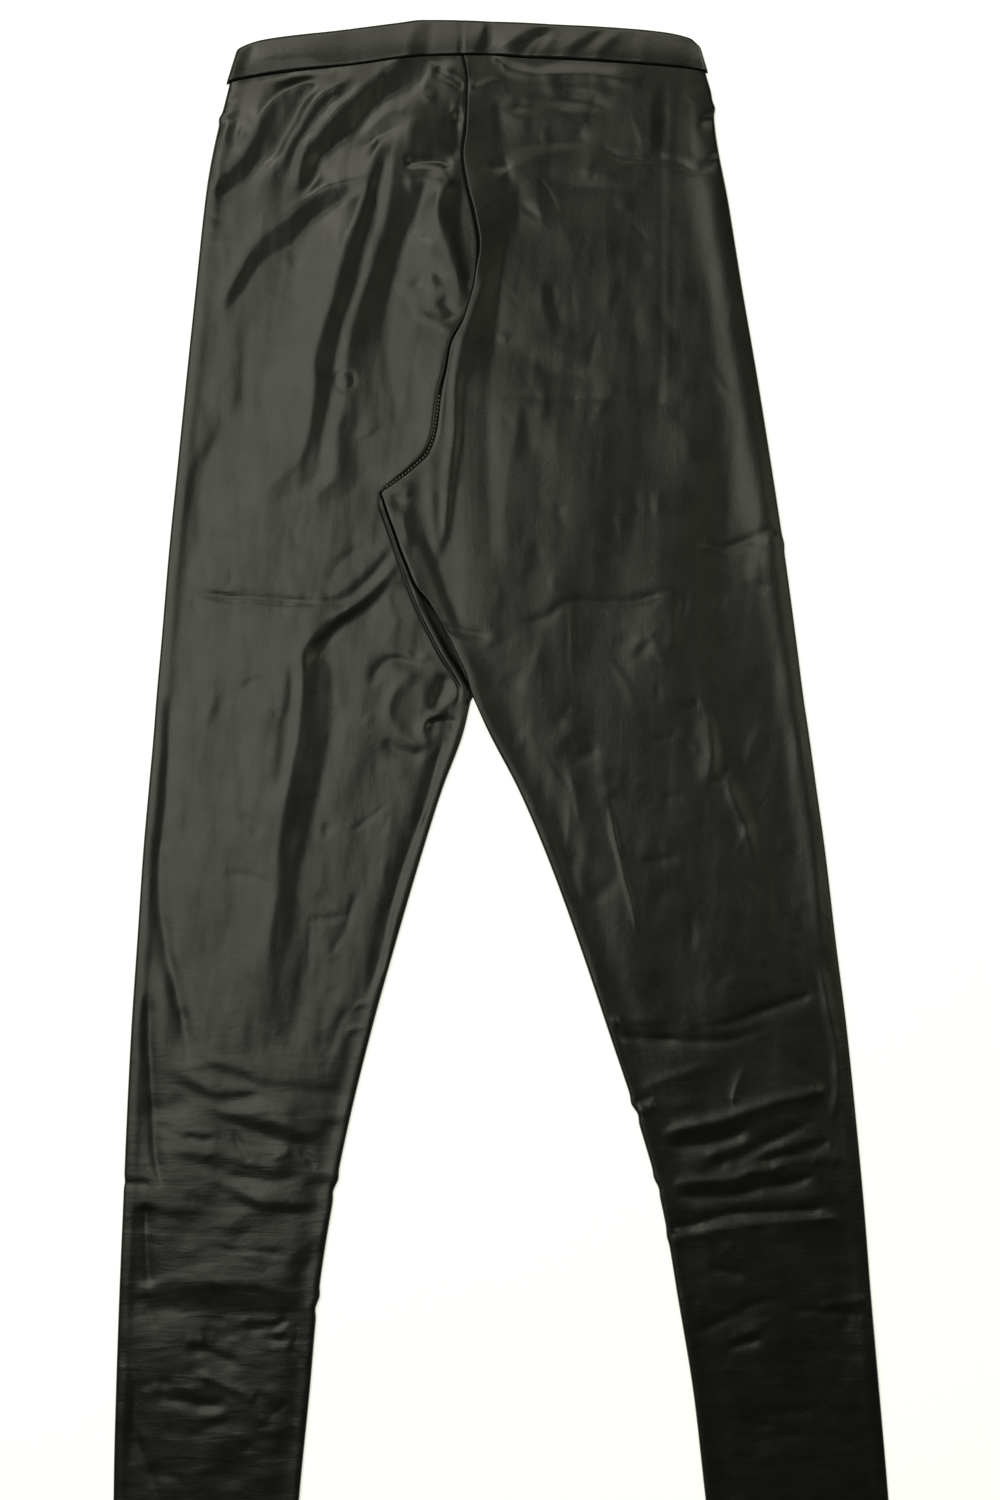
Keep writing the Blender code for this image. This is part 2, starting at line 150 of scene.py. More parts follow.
BACK_SEAM = [
    (28.0, -33.0), (119.0, -27.5), (205.0, -23.0), (231.0, -26.5), (254.5, -33.0),
    (271.0, -40.0), (285.5, -46.0), (294.0, -53.5), (302.5, -63.5), (311.5, -77.0),
]
UNDER_FOLD = [
    (28.0, -25.5), (119.0, -20.5), (205.0, -14.0), (231.0, 0.0), (254.5, 13.0),
    (297.0, 23.0), (337.0, 20.5), (376.5, 10.0), (412.5, -5.5), (449.0, -22.5),
]
BAND_TOP = [
    # x,  down
    (-177.5, 20.0), (-169.5, 16.0), (-161.0, 13.5), (-109.0, 7.0), (-69.5, 2.0),
    (-53.0, 0.0), (-12.0, 1.0), (29.5, 3.0), (93.5, 7.0), (122.0, 12.0), (129.5, 18.5),
]
BAND_SEAM = [
    (-184.5, 42.5), (-175.0, 40.0), (-155.0, 36.5), (-135.5, 34.0), (-102.5, 31.0),
    (-69.5, 26.5), (-51.0, 24.5), (-12.0, 24.0), (10.0, 25.5), (36.5, 26.5),
    (76.0, 29.0), (119.0, 32.5), (134.5, 35.0),
]
SEAM_LEVEL = 28.0
SEAM_FADE = 95.0

# Rims: the puffed strip along a folded edge and the dip behind it.
# down, then for each edge: height of the strip, its distance from the edge, depth of the dip, its distance
RIM_LEFT_OUT = [
    (28.0, 0.5, 6.0, 0.1, 17.0),
    (1070.0, 0.45, 5.0, 0.1, 15.0),
]
RIM_LEFT_IN = [
    (28.0, 0.4, 4.0, 0.0, 14.0),
    (700.0, 0.4, 4.0, 0.15, 12.0),
    (1070.0, 0.4, 4.0, 0.15, 12.0),
]
RIM_RIGHT_IN = [
    (28.0, 0.3, 5.0, 0.5, 18.0),
    (560.0, 0.3, 5.0, 0.5, 18.0),
    (700.0, 0.2, 4.0, 0.2, 16.0),
    (1070.0, 0.2, 4.0, 0.15, 15.0),
]
RIM_RIGHT_OUT = [
    (28.0, 0.3, 10.0, 0.0, 30.0),
    (110.0, 0.85, 12.0, 0.0, 30.0),
    (300.0, 0.8, 12.0, 0.0, 30.0),
    (440.0, 0.55, 9.0, 0.0, 26.0),
    (620.0, 0.35, 8.0, 0.0, 22.0),
    (1070.0, 0.35, 6.0, 0.1, 17.0),
]

# Creases of the front walls. A row: height (below 0 a trough), widths on the two sides of travel
# (left hand, right hand), sharpness, fade in, fade out, then the line as (x, down) points.
CREASES_LEFT = [
    # below the waistband, from the hip to the rise seam
    (-1.6, 5.0, 1.8, 1.4, 0.15, 0.1, ((-66.7, 96.6), (-59.4, 94.6), (-49.5, 93.9), (-40.3, 94.6), (-34.3, 97.2))),
    (0.8, 5.0, 6.0, 1.7, 0.2, 0.1, ((-67.3, 107.8), (-57.4, 106.5), (-45.5, 105.1), (-36.3, 101.8))),
    (0.55, 3.5, 3.0, 1.5, 0.05, 0.2, ((-48.2, 26.6), (-48.8, 33.2), (-51.5, 40.5), (-54.1, 46.4), (-51.5, 51.0), (-44.9, 55.6))),
    (-1.0, 2.5, 2.5, 1.5, 0.2, 0.05, ((-46.9, 33.2), (-39.6, 37.2), (-33.0, 41.1), (-27.1, 45.7))),
    (0.5, 8.0, 3.0, 1.6, 0.2, 0.1, ((-45.5, 30.6), (-38.9, 33.9), (-32.3, 37.2))),
    (0.6, 3.5, 3.5, 1.5, 0.3, 0.3, ((-35.6, 60.3), (-31.0, 58.3), (-26.4, 59.6))),
    (-0.8, 5.0, 5.0, 1.6, 0.3, 0.3, ((-35.6, 64.2), (-26.4, 65.5))),
    (-0.5, 1.5, 1.5, 1.5, 0.3, 0.1, ((-174.9, 52.3), (-181.5, 54.3), (-188.1, 57.6))),
    (0.4, 1.6, 1.6, 1.6, 0.3, 0.2, ((-174.2, 61.6), (-181.5, 62.2), (-188.1, 65.5))),
    (0.45, 3.0, 3.0, 1.8, 0.4, 0.4, ((-172.3, 67.5), (-173.6, 76.1), (-174.9, 84.7))),
    (0.5, 4.0, 3.0, 1.8, 0.3, 0.3, ((-180.2, 64.9), (-184.1, 74.1), (-187.4, 86.0))),
    (-0.6, 1.5, 1.5, 1.5, 0.1, 0.5, ((-200.0, 126.3), (-194.7, 129.6), (-186.8, 132.9))),
    (0.25, 1.5, 1.5, 1.5, 0.2, 0.4, ((-198.0, 147.4), (-186.8, 146.1), (-170.9, 144.1))),
    (-0.5, 4.0, 4.0, 1.6, 0.3, 0.3, ((-55.4, 142.8), (-50.8, 142.1), (-45.5, 144.7))),
    (-0.9, 5.0, 4.0, 1.6, 0.3, 0.3, ((-65.3, 174.4), (-57.4, 172.5), (-49.5, 166.5), (-44.2, 169.2), (-40.3, 178.4))),
    (0.4, 2.0, 2.0, 1.6, 0.2, 0.2, ((-60.1, 194.2), (-50.8, 196.9), (-38.9, 203.5), (-34.3, 206.1))),
    (-0.9, 6.0, 4.0, 1.6, 0.3, 0.3, ((-44.2, 182.4), (-37.6, 190.3), (-31.0, 199.5))),
    # inner thigh
    (0.35, 2.0, 2.0, 1.6, 0.2, 0.2, ((-79.9, 418.0), (-69.3, 418.6), (-59.4, 421.9), (-52.1, 420.0), (-46.9, 417.3))),
    (-0.7, 4.0, 4.0, 1.7, 0.25, 0.25, ((-89.1, 441.1), (-85.1, 430.5), (-78.5, 423.9), (-70.6, 422.6), (-61.4, 423.9), (-52.1, 424.6))),
    (0.6, 5.0, 4.0, 1.6, 0.15, 0.15, ((-57.4, 427.9), (-66.7, 435.8), (-73.3, 444.4), (-76.6, 453.0), (-75.9, 460.9), (-71.9, 467.5), (-65.3, 474.1), (-57.4, 478.7), (-49.5, 482.0))),
    (0.3, 5.0, 5.0, 1.7, 0.3, 0.3, ((-53.5, 433.2), (-53.5, 445.7), (-53.5, 458.9))),
    (-0.8, 6.0, 6.0, 1.8, 0.25, 0.25, ((-37.0, 429.2), (-40.9, 441.1), (-44.9, 451.0), (-48.8, 456.9))),
    (0.7, 4.0, 3.0, 1.6, 0.2, 0.15, ((-30.4, 443.7), (-35.0, 449.0), (-39.6, 451.6), (-42.9, 456.9), (-48.2, 460.2), (-52.8, 463.5), (-54.8, 469.5), (-52.1, 476.1), (-48.8, 482.0))),
    (-1.0, 3.0, 3.0, 1.6, 0.2, 0.2, ((-52.1, 466.8), (-44.2, 463.5), (-35.0, 463.5), (-29.7, 464.8))),
    (-0.6, 3.0, 4.0, 1.6, 0.2, 0.2, ((-81.2, 474.1), (-73.3, 480.7), (-62.7, 485.3), (-52.1, 484.0))),
    (-0.3, 1.5, 1.5, 1.5, 0.3, 0.3, ((-62.0, 416.0), (-58.7, 420.0), (-54.8, 419.3))),
    # thigh
    (-0.55, 1.5, 1.5, 1.6, 0.0, 0.0, ((-99.7, 238.5), (-101.0, 242.4), (-104.3, 244.4), (-108.2, 243.7), (-110.9, 240.4), (-110.9, 236.5), (-108.2, 233.2), (-104.3, 232.5), (-101.0, 234.5), (-99.7, 238.5))),
    (-0.4, 1.5, 2.5, 1.6, 0.2, 0.2, ((-137.3, 240.4), (-135.3, 243.7), (-132.7, 246.4))),
    (-0.25, 2.5, 2.5, 1.6, 0.3, 0.2, ((-201.3, 335.5), (-184.8, 336.8), (-168.3, 339.4))),
    (-0.3, 2.5, 2.5, 1.6, 0.2, 0.2, ((-198.0, 353.3), (-196.7, 366.5), (-191.4, 371.8), (-181.5, 373.1), (-180.2, 357.9))),
    (-1.0, 3.0, 2.0, 1.6, 0.2, 0.2, ((-207.9, 377.7), (-191.4, 380.4), (-174.9, 381.7), (-155.1, 383.0), (-135.3, 384.3), (-122.1, 385.0), (-108.2, 383.0))),
    (-0.25, 2.0, 2.0, 1.6, 0.3, 0.3, ((-191.4, 374.4), (-165.0, 377.7), (-135.3, 379.7))),
    (-0.4, 3.0, 3.0, 1.6, 0.2, 0.2, ((-115.5, 373.1), (-112.2, 363.2), (-105.6, 355.3), (-95.7, 350.0), (-85.8, 348.0))),
    (-0.4, 2.0, 2.0, 1.5, 0.2, 0.3, ((-206.6, 383.0), (-202.6, 390.9), (-198.0, 396.2))),
    (-0.3, 2.5, 2.5, 1.6, 0.3, 0.3, ((-178.2, 388.3), (-161.7, 390.9), (-135.3, 390.9))),
    (-0.3, 2.5, 2.0, 1.6, 0.2, 0.2, ((-172.9, 443.7), (-168.3, 438.4), (-161.7, 436.5), (-155.1, 438.4), (-149.8, 442.4))),
    # below the thigh, to the knee
    (-0.35, 4.0, 4.0, 1.7, 0.3, 0.3, ((-176.2, 522.9), (-167.0, 530.8), (-159.1, 538.8))),
    (-0.3, 3.0, 3.0, 1.7, 0.3, 0.2, ((-186.8, 563.8), (-171.6, 565.2), (-160.4, 567.8), (-152.5, 569.1))),
    (-0.9, 5.0, 6.0, 1.7, 0.08, 0.1, ((-220.4, 442.4), (-221.8, 475.4), (-223.1, 508.4), (-225.7, 534.8), (-228.4, 561.2), (-227.0, 587.6), (-223.1, 614.0), (-217.8, 637.1), (-213.2, 656.9), (-209.9, 676.7), (-209.2, 691.9))),
    (-0.9, 4.0, 4.0, 1.7, 0.15, 0.15, ((-236.3, 637.1), (-235.0, 653.6), (-234.3, 680.0), (-233.0, 706.4), (-231.7, 732.8), (-230.3, 752.6), (-225.1, 773.7))),
    (-0.9, 2.5, 6.0, 1.6, 0.1, 0.15, ((-40.3, 474.1), (-46.2, 495.2), (-52.1, 518.3), (-59.4, 538.1), (-66.0, 555.9), (-71.3, 573.1), (-75.9, 590.9), (-79.9, 610.7), (-84.5, 628.5), (-91.7, 647.0))),
    (-0.25, 1.5, 1.5, 1.5, 0.3, 0.3, ((-105.6, 538.8), (-94.4, 530.8), (-83.8, 522.9), (-74.6, 513.0))),
    (-0.2, 1.5, 1.5, 1.5, 0.3, 0.3, ((-81.2, 538.1), (-78.5, 529.5), (-77.2, 522.9))),
    (-0.22, 2.0, 2.0, 1.6, 0.3, 0.3, ((-128.0, 590.9), (-128.7, 607.4), (-130.0, 637.1))),
    (-0.3, 2.0, 2.0, 1.6, 0.3, 0.3, ((-132.0, 592.9), (-118.8, 593.5), (-108.9, 592.2), (-101.0, 590.9))),
    (-0.3, 3.0, 3.0, 1.6, 0.3, 0.3, ((-120.8, 621.9), (-111.5, 610.7), (-104.9, 599.5), (-101.0, 586.3), (-94.4, 570.4))),
    (-0.35, 4.0, 4.0, 1.7, 0.3, 0.3, ((-101.0, 650.3), (-108.9, 661.5), (-113.5, 676.7), (-115.5, 687.9))),
    (-0.3, 5.0, 5.0, 1.8, 0.4, 0.2, ((-134.0, 620.6), (-135.3, 647.0), (-137.9, 680.0))),
    (0.3, 1.5, 1.5, 1.5, 0.2, 0.2, ((-101.0, 652.3), (-94.4, 649.6), (-87.8, 649.0))),
    (0.3, 1.5, 1.5, 1.5, 0.2, 0.2, ((-105.6, 668.1), (-98.3, 665.5), (-91.7, 664.8))),
    # knee and calf
    (-0.25, 1.2, 1.2, 1.3, 0.3, 0.3, ((-171.6, 723.6), (-145.2, 723.6), (-125.4, 721.6))),
    (-0.4, 2.0, 2.0, 1.3, 0.3, 0.3, ((-214.5, 736.8), (-203.3, 739.4), (-190.7, 740.7))),
    (0.3, 2.0, 2.0, 1.3, 0.3, 0.3, ((-224.4, 732.1), (-204.6, 733.5), (-182.8, 734.8))),
    (-0.4, 2.5, 2.5, 1.3, 0.3, 0.2, ((-180.2, 731.5), (-174.9, 743.4), (-167.0, 755.2))),
    (0.4, 3.0, 2.0, 1.3, 0.3, 0.3, ((-153.8, 752.6), (-146.5, 748.6), (-139.3, 746.0))),
    (-0.4, 2.0, 2.0, 1.3, 0.3, 0.2, ((-136.6, 743.4), (-130.0, 750.0), (-125.4, 759.2))),
    (-0.3, 1.5, 1.5, 1.3, 0.3, 0.3, ((-201.3, 808.7), (-181.5, 812.0), (-158.4, 813.3), (-135.3, 817.3))),
    (-1.1, 5.0, 5.0, 1.3, 0.1, 0.1, ((-236.9, 781.0), (-236.9, 798.8), (-236.3, 815.3), (-234.3, 837.1))),
    (-0.5, 2.0, 2.0, 1.3, 0.0, 0.3, ((-251.5, 768.4), (-242.2, 768.4), (-233.0, 768.4))),
    # lower calf, and plainly on to the hem
    (-0.41, 6.0, 6.0, 1.3, 0.2, 0.3, ((-239.6, 839.7), (-235.6, 851.6), (-229.0, 867.4))),
    (0.18, 3.0, 3.0, 1.3, 0.3, 0.3, ((-194.0, 842.4), (-190.7, 850.3), (-188.8, 859.5))),
    (0.35, 2.5, 2.5, 1.3, 0.25, 0.2, ((-178.9, 859.5), (-168.3, 858.2), (-156.4, 858.2), (-145.9, 859.5))),
    (-0.35, 3.0, 2.5, 1.3, 0.3, 0.2, ((-176.2, 864.8), (-163.0, 864.1), (-152.5, 862.8), (-141.9, 856.2))),
    (0.31, 2.5, 2.0, 1.3, 0.3, 0.2, ((-153.8, 867.4), (-147.2, 865.5), (-141.9, 860.8))),
    (-0.41, 3.0, 2.5, 1.3, 0.3, 0.3, ((-160.4, 868.8), (-151.8, 872.1), (-141.9, 872.1))),
    (-0.2, 2.0, 2.0, 1.3, 0.3, 0.3, ((-137.9, 856.9), (-137.3, 867.4), (-139.9, 878.0))),
    (0.31, 3.0, 2.5, 1.3, 0.3, 0.2, ((-211.9, 870.7), (-203.9, 872.1), (-197.3, 871.4))),
    (-0.61, 5.0, 6.0, 1.3, 0.25, 0.25, ((-213.2, 879.3), (-198.0, 879.3), (-186.8, 883.3), (-171.6, 887.2))),
    (0.41, 3.0, 3.0, 1.3, 0.25, 0.1, ((-207.9, 891.9), (-196.0, 896.5), (-184.1, 901.8), (-173.6, 906.4), (-163.0, 911.0))),
    (0.31, 3.0, 3.0, 1.3, 0.3, 0.3, ((-227.7, 904.4), (-213.2, 903.1), (-198.7, 905.7))),
    (-0.31, 3.5, 3.0, 1.3, 0.2, 0.3, ((-240.9, 901.8), (-229.0, 901.1), (-217.1, 897.1))),
    (-0.61, 5.0, 3.5, 1.3, 0.2, 0.2, ((-235.6, 909.7), (-217.8, 911.0), (-198.0, 914.3), (-180.2, 913.6))),
    (0.41, 2.5, 3.0, 1.3, 0.3, 0.3, ((-205.3, 920.2), (-193.4, 921.6), (-181.5, 920.2))),
    (-0.41, 3.5, 5.0, 1.3, 0.3, 0.3, ((-213.2, 934.8), (-201.3, 931.5), (-189.4, 926.8), (-177.5, 924.9))),
    (0.18, 3.0, 3.0, 1.3, 0.3, 0.3, ((-181.5, 933.4), (-171.6, 935.4), (-163.0, 938.1))),
    (-0.31, 3.0, 2.5, 1.3, 0.3, 0.3, ((-157.7, 919.6), (-149.8, 918.3), (-143.2, 911.0))),
    (0.18, 2.5, 2.5, 1.3, 0.3, 0.3, ((-163.0, 909.7), (-160.4, 918.9), (-159.1, 928.2))),
    (-0.46, 4.0, 4.0, 1.3, 0.2, 0.2, ((-255.4, 871.4), (-248.8, 883.3), (-243.5, 897.8), (-244.9, 917.6), (-244.2, 934.1), (-238.3, 949.3), (-233.0, 963.8), (-227.7, 980.3), (-223.7, 1006.7), (-224.4, 1029.8))),
    (-0.41, 5.0, 6.0, 1.3, 0.3, 0.3, ((-203.9, 962.5), (-188.1, 959.8), (-171.6, 963.8))),
    (-0.2, 2.0, 2.5, 1.3, 0.3, 0.2, ((-143.2, 875.4), (-137.9, 880.6), (-131.3, 885.9))),
    (-0.15, 2.0, 2.0, 1.3, 0.3, 0.3, ((-142.6, 925.5), (-137.9, 937.4), (-137.3, 947.3))),
    (-0.26, 5.0, 5.0, 1.3, 0.3, 0.3, ((-222.4, 995.5), (-201.3, 999.4), (-176.2, 996.8))),
    (0.2, 4.0, 4.0, 1.3, 0.3, 0.3, ((-197.3, 1015.3), (-171.6, 1019.2), (-147.2, 1015.3))),
    (-0.18, 4.0, 5.0, 1.3, 0.3, 0.3, ((-240.9, 1037.7), (-219.8, 1041.7), (-197.3, 1039.0))),
    (-0.3, 6.0, 5.0, 1.8, 0.3, 0.3, ((-149.8, 190.3), (-163.0, 196.9), (-170.3, 208.1), (-172.3, 231.2), (-172.3, 264.2), (-170.9, 287.3))),
    (-0.25, 5.0, 5.0, 1.8, 0.4, 0.4, ((-145.9, 152.0), (-148.5, 168.5), (-151.1, 185.0))),
]
CREASES_RIGHT = [
    # below the waistband, from the rise seam to the hip
    (0.5, 1.8, 1.8, 1.5, 0.2, 0.2, ((-9.2, 27.3), (-4.6, 26.6), (-1.3, 29.2), (-0.7, 33.2))),
    (0.45, 2.2, 3.5, 1.5, 0.1, 0.4, ((-25.7, 43.8), (-19.1, 45.7), (-12.5, 42.4), (-5.9, 40.5), (-1.3, 42.4), (2.0, 47.7))),
    (0.5, 1.8, 1.5, 1.5, 0.1, 0.1, ((-26.4, 26.6), (-25.1, 35.8), (-23.1, 41.8), (-20.5, 45.1))),
    (-0.5, 2.0, 3.0, 1.6, 0.2, 0.1, ((60.1, 79.4), (66.7, 86.0), (75.9, 90.6), (89.1, 91.9), (102.3, 91.3), (114.2, 94.6), (125.4, 99.2), (134.0, 97.9), (141.9, 93.3))),
    (-0.35, 1.5, 2.5, 1.5, 0.2, 0.3, ((21.8, 104.5), (26.4, 110.4), (31.7, 119.0), (36.3, 128.9))),
    (-0.3, 1.5, 1.5, 1.5, 0.3, 0.3, ((9.9, 121.6), (17.8, 126.9), (23.8, 131.5))),
    (-0.2, 1.5, 1.5, 1.5, 0.3, 0.3, ((82.5, 133.5), (89.1, 140.1), (94.4, 146.7))),
    (0.09, 3.0, 3.0, 1.6, 0.1, 0.1, ((108.2, 43.1), (108.9, 86.0), (108.2, 132.2), (107.6, 185.0), (106.9, 224.6), (106.9, 251.0))),
    (-0.08, 3.0, 3.0, 1.6, 0.1, 0.1, ((102.3, 43.1), (103.0, 119.0), (103.0, 185.0), (102.3, 249.7))),
    (-0.3, 4.0, 4.0, 1.8, 0.2, 0.2, ((122.1, 49.7), (122.8, 72.8), (124.1, 95.9))),
    (-0.6, 2.0, 3.0, 1.5, 0.3, 0.1, ((127.4, 64.9), (132.7, 66.2), (139.3, 64.2))),
    (-0.7, 2.0, 3.0, 1.5, 0.4, 0.1, ((123.4, 96.6), (131.3, 95.2), (136.6, 92.6), (144.5, 91.3))),
    (-0.35, 3.5, 3.0, 1.5, 0.3, 0.3, ((-12.5, 95.2), (-6.6, 97.9), (0.0, 97.2), (5.9, 93.9))),
    # the roll over the rise seam, the two pleats below it and the extension
    (-0.8, 3.0, 2.5, 1.5, 0.2, 0.3, ((-42.9, 397.5), (-36.3, 402.1), (-28.4, 404.1), (-16.5, 406.1), (-5.9, 406.8))),
    (0.6, 2.5, 2.5, 1.6, 0.3, 0.3, ((-69.3, 306.4), (-65.3, 309.7), (-65.3, 315.7))),
    (-0.6, 4.0, 4.0, 1.7, 0.3, 0.3, ((-74.6, 311.7), (-71.3, 317.0), (-68.0, 324.9))),
    (0.4, 3.0, 3.0, 1.7, 0.3, 0.3, ((-66.7, 324.9), (-65.3, 336.8), (-63.4, 348.7))),
    (0.3, 2.0, 2.5, 1.6, 0.3, 0.3, ((-5.3, 210.1), (-1.3, 208.8), (2.6, 212.7))),
    (-0.2, 1.5, 2.5, 1.5, 0.2, 0.3, ((-5.9, 249.7), (9.9, 247.0), (17.8, 249.0), (36.3, 251.0))),
    (-0.28, 2.0, 2.5, 1.5, 0.2, 0.1, ((23.1, 250.3), (49.5, 249.7), (75.9, 250.3), (99.0, 251.0), (108.9, 253.6))),
    # thigh
    (0.15, 3.8, 3.8, 1.7, 0.4, 0.4, ((65.3, 236.5), (63.4, 249.7))),
    (-0.7, 3.5, 2.5, 1.6, 0.25, 0.1, ((122.1, 345.4), (138.6, 349.3), (148.5, 348.0), (158.4, 344.7), (171.6, 338.8), (179.5, 335.5))),
    (-0.3, 2.5, 2.5, 1.6, 0.2, 0.2, ((160.4, 344.1), (169.6, 346.0), (178.2, 350.0))),
    (0.3, 2.5, 2.5, 1.6, 0.3, 0.1, ((170.9, 344.1), (176.2, 342.1), (180.8, 338.8))),
    (-0.15, 1.9, 1.9, 1.5, 0.3, 0.3, ((125.4, 351.3), (132.7, 357.3))),
    (0.24, 5.0, 5.0, 1.8, 0.4, 0.4, ((163.0, 353.3), (165.7, 364.5), (167.0, 377.7))),
    (-0.5, 3.5, 3.0, 1.6, 0.2, 0.2, ((2.0, 399.5), (16.5, 397.5), (28.4, 394.2), (35.6, 387.6), (46.2, 384.3), (62.7, 385.0), (75.9, 385.0), (90.4, 383.0), (101.0, 379.7), (122.1, 375.7))),
    (-0.24, 5.0, 5.0, 1.6, 0.3, 0.3, ((72.6, 385.6), (87.8, 383.7), (104.9, 379.0))),
    (-0.18, 3.1, 3.1, 1.6, 0.3, 0.1, ((155.1, 375.1), (167.0, 374.4), (180.2, 373.1))),
    (0.25, 1.5, 1.5, 1.6, 0.2, 0.3, ((44.2, 383.0), (44.2, 412.7), (44.9, 442.4))),
    (0.18, 3.8, 3.8, 1.7, 0.4, 0.4, ((110.2, 388.3), (111.5, 410.7))),
    (-0.5, 10.0, 14.0, 1.8, 0.2, 0.2, ((143.2, 251.0), (144.5, 303.8), (147.2, 356.6), (151.8, 409.4), (156.4, 462.2), (163.0, 515.0), (171.6, 567.8))),
    (0.75, 5.0, 13.0, 1.8, 0.1, 0.15, ((128.7, 53.0), (132.7, 72.8), (141.2, 122.3), (150.5, 178.4), (159.1, 231.2), (169.0, 290.6), (178.2, 350.0), (184.1, 392.9))),
    (0.6, 5.0, 10.0, 1.8, 0.15, 0.15, ((179.5, 363.2), (186.1, 409.4), (191.4, 449.0), (198.7, 508.4), (203.3, 548.0), (207.2, 594.2), (209.9, 623.9))),
    # below the thigh, to the knee
    (-0.24, 4.4, 4.4, 1.7, 0.3, 0.3, ((44.2, 451.6), (37.6, 459.6), (33.0, 468.8))),
    (0.36, 7.5, 7.5, 1.8, 0.4, 0.4, ((27.1, 486.6), (37.6, 475.4), (53.5, 462.2))),
    (-0.42, 5.0, 3.8, 1.7, 0.3, 0.3, ((41.6, 491.9), (52.1, 486.0), (64.7, 481.3))),
    (0.21, 3.8, 2.5, 1.6, 0.3, 0.3, ((41.6, 491.9), (46.2, 511.7), (50.2, 533.5))),
    (0.21, 3.8, 3.8, 1.7, 0.4, 0.4, ((62.0, 488.6), (66.7, 501.8))),
    (0.21, 3.8, 3.8, 1.7, 0.4, 0.4, ((66.7, 504.4), (69.3, 515.0))),
    (0.5, 2.5, 1.8, 1.6, 0.25, 0.3, ((67.3, 513.7), (71.3, 534.8), (75.2, 551.3), (79.9, 571.1), (85.1, 590.9), (87.8, 607.4))),
    (-0.36, 3.8, 3.1, 1.6, 0.3, 0.2, ((114.2, 456.9), (120.8, 454.3), (129.4, 449.7))),
    (0.6, 4.0, 6.0, 1.8, 0.25, 0.25, ((134.0, 455.6), (136.6, 475.4), (136.6, 491.9), (132.0, 509.7))),
    (-0.15, 2.5, 2.5, 1.6, 0.3, 0.3, ((87.8, 477.4), (105.6, 474.1), (119.5, 468.1))),
    (-0.21, 3.1, 3.1, 1.6, 0.3, 0.3, ((102.3, 517.0), (109.6, 513.0), (119.5, 513.7))),
    (-0.3, 3.8, 4.4, 1.7, 0.3, 0.3, ((86.5, 557.2), (99.0, 555.3), (118.1, 552.0))),
    (-0.3, 3.8, 3.8, 1.6, 0.3, 0.3, ((134.0, 505.8), (142.6, 501.1), (150.5, 491.2))),
    (0.5, 5.0, 4.0, 1.7, 0.2, 0.3, ((145.9, 499.2), (151.1, 515.0), (157.7, 531.5), (163.0, 548.0), (165.7, 561.2))),
    (0.5, 3.0, 4.0, 1.7, 0.2, 0.15, ((205.9, 612.7), (212.5, 647.0), (219.1, 680.0), (219.8, 703.1), (217.8, 717.0), (215.2, 731.5))),
    (0.3, 2.5, 3.1, 1.6, 0.3, 0.3, ((220.4, 743.4), (218.5, 751.3), (215.2, 760.5))),
    # knee and calf
    (-0.7, 4.0, 3.0, 1.3, 0.1, 0.3, ((73.3, 671.4), (92.4, 672.7), (112.2, 674.1), (132.0, 674.7), (147.2, 674.1), (161.7, 669.4), (178.9, 663.5))),
    (-0.4, 3.0, 3.0, 1.3, 0.4, 0.4, ((92.4, 672.7), (103.6, 673.4), (116.8, 674.1))),
    (-0.6, 3.0, 3.0, 1.3, 0.25, 0.15, ((131.3, 664.2), (151.8, 661.5), (171.6, 654.3), (189.4, 647.7), (207.2, 642.4))),
    (0.5, 2.0, 2.0, 1.3, 0.3, 0.3, ((70.0, 656.9), (75.9, 664.8))),
    (0.45, 3.5, 5.0, 1.3, 0.2, 0.3, ((85.8, 706.4), (99.0, 701.8), (112.9, 696.5), (128.7, 691.2), (143.9, 687.3))),
    (-0.5, 2.0, 2.0, 1.3, 0.1, 0.3, ((85.1, 715.6), (91.1, 713.0), (99.0, 710.4))),
    (0.8, 3.0, 2.5, 1.3, 0.1, 0.4, ((88.4, 720.9), (94.4, 718.3), (101.0, 715.0))),
    (0.5, 2.5, 2.0, 1.3, 0.15, 0.3, ((150.5, 716.3), (151.8, 707.7), (155.1, 698.5), (160.4, 687.3))),
    (1.2, 4.0, 6.0, 1.3, 0.15, 0.1, ((101.0, 735.4), (122.1, 730.2), (141.9, 726.2), (161.7, 719.6), (181.5, 713.0), (198.0, 709.0), (215.2, 704.4))),
    (-1.0, 6.0, 4.0, 1.3, 0.2, 0.2, ((106.3, 744.0), (125.4, 743.4), (145.2, 739.4), (163.0, 732.8))),
    (0.5, 3.0, 3.0, 1.3, 0.3, 0.3, ((125.4, 753.9), (141.9, 747.3), (158.4, 741.4), (172.9, 735.4))),
    (-0.7, 4.0, 3.0, 1.3, 0.2, 0.2, ((128.7, 759.9), (145.2, 754.6), (160.4, 748.6), (178.2, 739.4), (194.7, 731.5), (207.9, 725.5))),
    (0.4, 3.0, 3.0, 1.3, 0.3, 0.2, ((161.7, 750.6), (184.8, 743.4), (209.2, 736.8))),
    (-0.8, 3.5, 3.0, 1.3, 0.2, 0.1, ((165.0, 755.2), (186.8, 750.0), (202.6, 745.3), (215.2, 740.1))),
    (0.9, 3.0, 4.0, 1.3, 0.15, 0.15, ((107.6, 769.8), (128.7, 766.5), (151.8, 764.5), (163.0, 760.5), (178.9, 757.9), (186.8, 751.9))),
    (-1.0, 4.0, 4.0, 1.3, 0.15, 0.15, ((110.2, 776.4), (130.0, 777.0), (151.8, 775.7), (169.6, 771.7), (188.1, 768.4), (207.9, 761.8))),
    (0.4, 2.0, 2.0, 1.3, 0.3, 0.3, ((202.0, 757.2), (207.2, 748.6))),
